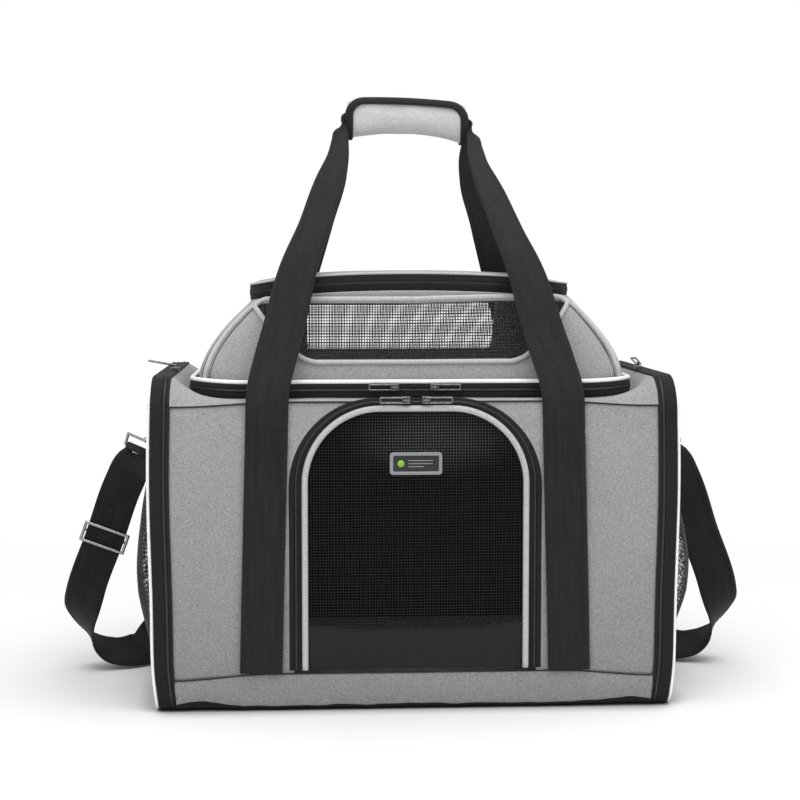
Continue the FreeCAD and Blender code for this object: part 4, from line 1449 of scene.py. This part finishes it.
def build_handle(facing, side):
    body = "handle_" + side
    sewn, free = [], []
    x_front, x_rear, y, z, across_x, across_y, across_z, widths = HANDLE_LEG.T
    for end, end_side in ENDS:
        rows = np.column_stack([end * (x_front if facing < 0 else x_rear), facing * y, z,
                                across_x, -facing * end * across_y, -end * across_z, widths])
        data, path, across, normals, width = strip(rows, 2.5, 2.6, ripple=0.45, seed=4 + end)
        if np.mean(normals[:, 1] * facing) < 0:
            normals = -normals
        web = solid("webbing_%s_%s" % (side, end_side), data, "web", body=None, uv=True)
        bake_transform(web)
        if end < 0:
            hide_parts("strap_sewn_" + side, "handle_webbing_" + side)
        sewn_end, free_start, free_end = (int((path[:, 2] < z).sum()) for z in (240, 266, 500))
        sewn += edge_stitches(path, across, normals, width, 2.5, 1, sewn_end)
        free += edge_stitches(path, across, normals, width, 2.5, free_start, free_end)
    sew("webbing_stitches_" + side, sewn)
    sew("handle_stitches_" + side, free, body)
    # oblong of stitching near the top of each sewn part
    parts = []
    for end, _ in ENDS:
        corners = [np.array([end * 133.4 + dx, facing * 149.3, 236.0 + dz])
                   for dx, dz in ((-13, -9), (13, -9), (13, 9), (-13, 9), (-13, -9))]
        for pair in zip(corners, corners[1:]):
            parts += stitches(pair, np.array([0.0, facing, 0.0]), length=2.4, gap=1.5)
    sew("anchor_stitches_" + side, parts)


# Grip section as (outward y, z): the outer skin over the top, down and under, then back inside
GRIP_OUTLINE = [
    (0.5, 563.6), (3.5, 565.2), (8.0, 564.6), (12.2, 560.5), (14.2, 553.0), (14.8, 545.0),
    (14.0, 537.0), (11.5, 530.5), (7.5, 527.2), (3.0, 526.4), (0.5, 527.4),
    (0.5, 531.6), (4.0, 531.2), (7.5, 533.0), (10.0, 538.0), (10.6, 545.0), (10.2, 552.0),
    (8.6, 557.6), (5.0, 560.6), (0.5, 560.2)]


def build_grip_pad(facing, side):
    """Half of the grip: padded cloth folded round one handle."""
    half = 55.8
    outline = resample(GRIP_OUTLINE, 2.2, True)
    verts = []
    for x in np.linspace(-half, half, 60):
        share = abs(x) / half
        for y, z in outline:
            lift = 1.4 * noise_at(x / 26.0, y / 12.0, z / 16.0) * (1 - 0.4 * share)
            out = y + 1.2 * noise_at(x / 22.0 + 9, z / 14.0, 2.0)
            out *= 1.0 - 0.05 * share ** 4
            verts.append((x, facing * (0.3 + max(out - 0.3, 0.1)), z + lift))
    size = len(outline)
    pad = add_mesh("grip_pad_" + side, verts, grid_faces(60, size, True) + end_caps(60, size),
                   "grey_light", body=None)
    recalc(pad)
    puff(pad, "grey_light", travel=1.6, voxel=1.8, pressure=3.0, frames=12)
    near, far = sorted((facing * 15.2, facing * 0.25))
    verts = fit_box(get_coords(pad), (-56.6, near, 525.5), (56.6, far, 562.4))
    # the lower edge arches up in the middle
    verts[:, 2] += (5.2 * (1 - (verts[:, 0] / 57.0) ** 2)
                    * np.clip((550 - verts[:, 2]) / 22.0, 0, 1))
    set_coords(pad, tilt(verts))
    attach(pad, "handle_" + side)
    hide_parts("grip_" + side)


def build_grip_binding(facing, side):
    """Tape up the left end of the grip, along its top and down the right end."""
    body = "handle_" + side
    x, z = resample(arch_path(55.4, 527.2, 562.5, 14.0, 12), 2.5).T
    z = z - 1.6
    out = np.interp(z, [527, 530, 537, 545, 553, 560, 563, 566],
                    [8.2, 11.6, 14.2, 15.0, 14.6, 12.9, 11.2, 9.5])
    path = tilt(np.column_stack([x, facing * (out + 0.2), z]))
    lean = np.interp(z, [527, 537, 550, 563], [-0.8, -0.2, 0.25, 1.0])
    normals = unit(np.column_stack([np.zeros(len(x)), np.full(len(x), float(facing)), lean]))
    section = [(-3.6, -1.6), (3.6, -1.6), (3.9, 0.0), (3.4, 1.0), (0, 1.25), (-3.4, 1.0),
               (-3.9, 0.0)]
    solid("grip_edge_" + side, sweep(path, normals, section), "bind",
          "grip_binding_" + side, body, uv=True)
    sew("grip_edge_stitches_" + side,
        stitches(path + normals * 1.15, normals, length=2.2, gap=1.6, radius=0.28, lift=0.1),
        body)


for facing, side in FACES:
    build_handle(facing, side)
for facing, side in FACES:
    build_grip_pad(facing, side)
    build_grip_binding(facing, side)

# ------------------------------------------------------------------ shoulder strap
# right hook's eye: centre, direction across the strap, direction down the strap
EYE = np.array([255.5, 0.0, 225.5])
EYE_ACROSS = unit([0.82, 0.49, 0.29])
EYE_DOWN = np.array([0.26, 0.10, -0.96])
EYE_DOWN = unit(EYE_DOWN - EYE_ACROSS * float(EYE_DOWN @ EYE_ACROSS))

# straight part of the strap on the right
HANG_TOP = np.array([275.0, 8.0, 190.0])
HANG_FOOT = np.array([316.0, 20.0, 79.0])

# right half, from the eye to the middle of the rear: (x, y, z, across x, y, z, width)
STRAP_RIGHT = [
    (*(EYE + EYE_DOWN * 9.6), *EYE_ACROSS, 35), (*(EYE + EYE_DOWN * 15.2), *EYE_ACROSS, 37),
    (266.5, 4.5, 206, 0.87, 0.3, 0.32, WEB_WIDTH), (*HANG_TOP, 0.938, 0, 0.347, WEB_WIDTH),
    (*((HANG_TOP + HANG_FOOT) / 2), 0.938, 0, 0.347, WEB_WIDTH),
    (*HANG_FOOT, 0.938, 0, 0.347, WEB_WIDTH),
    (319.5, 22.5, 64, 0.9, 0.25, 0.25, WEB_WIDTH), (319, 26, 50, 0.7, 0.65, 0.2, WEB_WIDTH),
    (315, 29, 37, 0.35, 0.93, 0, WEB_WIDTH), (307, 32, 25.5, 0, 0.97, 0.15, WEB_WIDTH),
    (295, 35, 17.5, -0.1, 0.9, 0.4, WEB_WIDTH), (281, 38.5, 14.6, 0, 0.84, 0.54, WEB_WIDTH),
    (267, 47, 14.8, 0.4, 0.6, 0.62, WEB_WIDTH), (259.5, 63, 14.2, 0.75, 0.25, 0.62, WEB_WIDTH),
    (257, 85, 15.8, 0.72, 0, 0.69, WEB_WIDTH), (254, 110, 18.8, 0.45, 0, 0.89, WEB_WIDTH),
    (250, 134, 20.2, 0.15, 0, 0.99, WEB_WIDTH), (241, 152, 20.4, 0, 0, 1, WEB_WIDTH),
    (224, 162, 20.4, 0, 0, 1, WEB_WIDTH), (200, 165, 20.4, 0, 0, 1, WEB_WIDTH),
    (0, 166, 20.4, 0, 0, 1, WEB_WIDTH)]


def raised(verts, floor):
    """Keeps points above the floor."""
    verts = verts.copy()
    verts[:, 2] = np.maximum(verts[:, 2], floor)
    return verts


def build_shoulder_strap():
    body = "shoulder_strap"
    left = [(-r[0], r[1], r[2], -r[3], r[4], r[5], r[6]) for r in STRAP_RIGHT[:-1]][::-1]
    data, path, across, normals, width = strip(STRAP_RIGHT + left, 2.4, 3.0)
    solid("shoulder_webbing", (raised(data[0], 0.15), *data[1:]), "web",
          "shoulder_strap", body, uv=True)
    parts = []
    for face in (1.0, -1.0):
        parts += edge_stitches(path, across, normals * face, width, 2.4, 1, len(path) - 1)
    sew("shoulder_webbing_stitches", parts, body,
        reshape=lambda verts: raised(verts, 0.1))

    # folded ends round the hooks' eyes
    count = 24
    ring = (EYE + EYE_DOWN * 5.5
            + circle(3.0, count) @ np.array([EYE_DOWN, np.cross(EYE_ACROSS, EYE_DOWN)]))
    uv = np.column_stack([np.repeat([0, 1], count), np.tile(np.linspace(0, 19, count), 2)])
    parts = []
    for end, _ in ENDS:
        verts = np.vstack([ring + EYE_ACROSS * shift for shift in (-17.5, 17.5)])
        parts.append((verts * (end, 1, 1), grid_faces(2, count, True), uv))
    loops = solid("strap_end_loops", join(parts), "web", body=body, uv=True)
    solidify(loops, 1.6, 0)


build_shoulder_strap()


# ------------------------------------------------------------------ badge
def badge_part(name, mat, node, size, back, front, bevel, hole=None):
    """Rounded plate on the door with a bevelled front; sizes are (half x, half z, radius)."""
    half_x, half_z, radius = size
    verts, faces = [], []

    def add_ring(y, ring):
        verts.extend((x, y, BADGE_Z + z) for x, z in ring)

    for y, inset in ((back, 0.0), (front + bevel, 0.0), (front + bevel * 0.3, bevel * 0.35),
                     (front, bevel)):
        add_ring(y, round_rect(half_x - inset, half_z - inset, max(radius - inset, 0.3), 8))
    count = len(verts) // 4
    faces = grid_faces(4, count, True)
    if hole is None:
        faces += end_caps(4, count)[::-1]
    else:
        rim, inner = 3 * count, 4 * count
        deep = inner + count
        for y in (front, back):
            add_ring(y, round_rect(*hole, 8))
        for j in range(count):
            j2 = (j + 1) % count
            faces += [(rim + j, rim + j2, inner + j2, inner + j),
                      (inner + j, inner + j2, deep + j2, deep + j),
                      (deep + j, deep + j2, j2, j)]
    solid(name, (verts, faces, None), mat, node, "door")


def build_badge():
    badge_part("badge_rim", "badge_rim", "badge_frame", (23.6, 10.2, 3.2), back=-146.4,
               front=-149.0, bevel=0.9, hole=(20.4, 7.1, 1.4))
    badge_part("badge_face", "badge", "badge_plate", (20.3, 7.0, 1.3), back=-147.2,
               front=-148.5, bevel=0.3)
    # round green stud at the plate's left
    stud_x, count = -13.5, 28
    ring = circle(3.1, count)
    verts = [(stud_x + x, y, BADGE_Z + z) for y in (-148.9, -148.4) for x, z in ring]
    verts.append((stud_x, -149.05, BADGE_Z))
    faces = grid_faces(2, count, True)
    faces += [(j, (j + 1) % count, 2 * count) for j in range(count)]
    solid("badge_dot", (verts, faces, None), "green", body="door")
    # three raised lines to its right
    start = -7.0
    for k, (rise, length) in enumerate(((2.7, 22.0), (0.0, 22.0), (-2.7, 14.0))):
        path = [(start + length * share, -148.62, BADGE_Z + rise) for share in (0, 0.5, 1)]
        data = tube(path, 0.45, count=8, normal=(0, -1, 0))
        line = add_mesh("badge_line_%d" % k, data[0], data[1], "badge_rim", body="door")


build_badge()


# ------------------------------------------------------------------ hardware
def dress(node, mat, bevel=0.0):
    """Gives a loaded piece its material and, if asked, a small bevel in mm."""
    piece = NODES[node]
    set_material(piece, mat)
    if bevel:
        modifier = piece.modifiers.new("edge", "BEVEL")
        modifier.width = bevel * MM
        modifier.segments = 2
        modifier.limit_method = "ANGLE"
        modifier.angle_limit = math.radians(50)


dress("base_board", "board", 0.8)
dress("end_frame_rods", "wire")
for node in ("d_rings", "snap_hooks", "strap_adjuster"):
    dress(node, "buckle")
for node in [k for k in NODES.keys() if "slider" in k]:
    dress(node, "metal", 0.35)
for node in [k for k in NODES.keys() if "_pull" in k]:
    dress(node, "bright")

# side view (outward x, z) of the webbing loop that holds each ring
RING_TAB = [(235.2, 281.0), (235.2, 268.0), (235.6, 258.0), (237.6, 250.6), (241.5, 248.9),
            (245.2, 251.5), (245.2, 255.0), (242.2, 257.6), (238.9, 262.0), (238.2, 270.0),
            (238.2, 281.0)]


def build_ring_tabs():
    parts = []
    for end, _ in ENDS:
        path = spline([(end * x, 0.0, z) for x, z in RING_TAB], 1.5)
        normals = np.cross(tangents(path), np.array([0.0, 1.0, 0.0]))
        parts.append(sweep(path, normals, web_section(18.4, 1.4)))
    solid("ring_tab_loops", join(parts), "web", "ring_tabs", uv=True)


build_ring_tabs()


# ------------------------------------------------------------------ floor, light and camera
def build_floor():
    """Pale paper with a painted contact shadow where the object is close, fading to white away
    from it.
    """
    bpy.ops.mesh.primitive_plane_add(size=14.0, location=(0, 0, -0.0002))
    floor = bpy.context.object
    floor.name = "floor"
    material, tree, shader = new_material("floor_paper")
    coords = object_coords(tree)
    paper = ramp(tree, noise_fac(tree, coords, 2.0),
                 [(0.3, (0.86, 0.86, 0.865)), (0.7, (0.89, 0.89, 0.895))])
    # painted contact shadow: ambient occlusion darkens the paper next to the object
    occlusion = add_node(tree, "AmbientOcclusion", {"Distance": 0.035}, samples=8)
    painted_contact_shadow = add_node(tree, "MapRange", {"From Min": 0.15, "From Max": 0.85, "To Min": 0.10,
                                          "To Max": 1.0, "Value": occlusion.outputs["AO"]})
    shaded = add_node(tree, "VectorMath", {0: paper, "Scale": painted_contact_shadow.outputs[0]},
                      operation="SCALE")
    feed(tree, shader, {"Base Color": shaded.outputs[0], "Roughness": 0.7})
    distance = add_node(tree, "VectorMath", {0: coords}, operation="LENGTH")
    fade = add_node(tree, "MapRange", {"From Min": 0.40, "From Max": 1.0,
                                       "Value": distance.outputs["Value"]})
    fade = ramp(tree, fade.outputs[0], [(0.0, 0.0), (1.0, 1.0)])
    white = add_node(tree, "Emission", {"Strength": 1.0})
    mixed = add_node(tree, "MixShader", {0: fade, 1: shader.outputs[0], 2: white.outputs[0]})
    feed(tree, find_node(tree, "OUTPUT_MATERIAL"), {0: mixed.outputs[0]})
    floor.data.materials.append(material)


def build_world():
    """White surroundings, full strength to the camera and dimmer as light."""
    world = bpy.data.worlds.new("studio")
    SCENE.world = world
    world.use_nodes = True
    tree = world.node_tree
    light = tree.nodes["Background"]
    feed(tree, light, {0: (1.0, 1.0, 1.0, 1), 1: 0.72})
    seen = add_node(tree, "Background", {0: (1.0, 1.0, 1.0, 1), 1: 1.0})
    ray = add_node(tree, "LightPath", {})
    mixed = add_node(tree, "MixShader", {0: ray.outputs["Is Camera Ray"], 1: light.outputs[0],
                                         2: seen.outputs[0]})
    feed(tree, find_node(tree, "OUTPUT_WORLD"), {0: mixed.outputs[0]})


def add_area_light(name, location, size, power, target=(0, 0, 0.2)):
    light = bpy.data.lights.new(name, "AREA")
    light.shape = "RECTANGLE"
    light.size, light.size_y = size
    light.energy = power
    lamp = bpy.data.objects.new(name, light)
    SCENE.collection.objects.link(lamp)
    lamp.location = location
    aim = Vector(target) - Vector(location)
    lamp.rotation_euler = aim.to_track_quat("-Z", "Y").to_euler()


def build_camera():
    x, y, z = -0.100, -1.642, 0.395
    # aimed from the front at the Z axis, turned slightly to its left and tilted down
    turn = math.atan2(-x, -y) - 0.00355871886
    down = math.atan(0.0765124555)
    camera = bpy.data.cameras.new("cam")
    camera.sensor_width = 36.0
    camera.lens = 75.9
    camera.clip_start = 0.05
    holder = bpy.data.objects.new("cam", camera)
    SCENE.collection.objects.link(holder)
    holder.location = (x, y, z)
    holder.rotation_euler = (pi / 2 - down, 0, -turn)
    SCENE.camera = holder


build_floor()
build_world()
add_area_light("top_light", location=(0.2, -0.5, 2.3), size=(2.2, 1.8), power=34)
add_area_light("front_left", location=(-1.7, -2.2, 1.5), size=(1.4, 1.4), power=16)
add_area_light("front_right", location=(1.9, -1.8, 1.2), size=(1.4, 1.4), power=7)
build_camera()
SCENE.view_settings.view_transform = "Standard"
SCENE.view_settings.look = "None"
SCENE.view_settings.exposure = 0.0

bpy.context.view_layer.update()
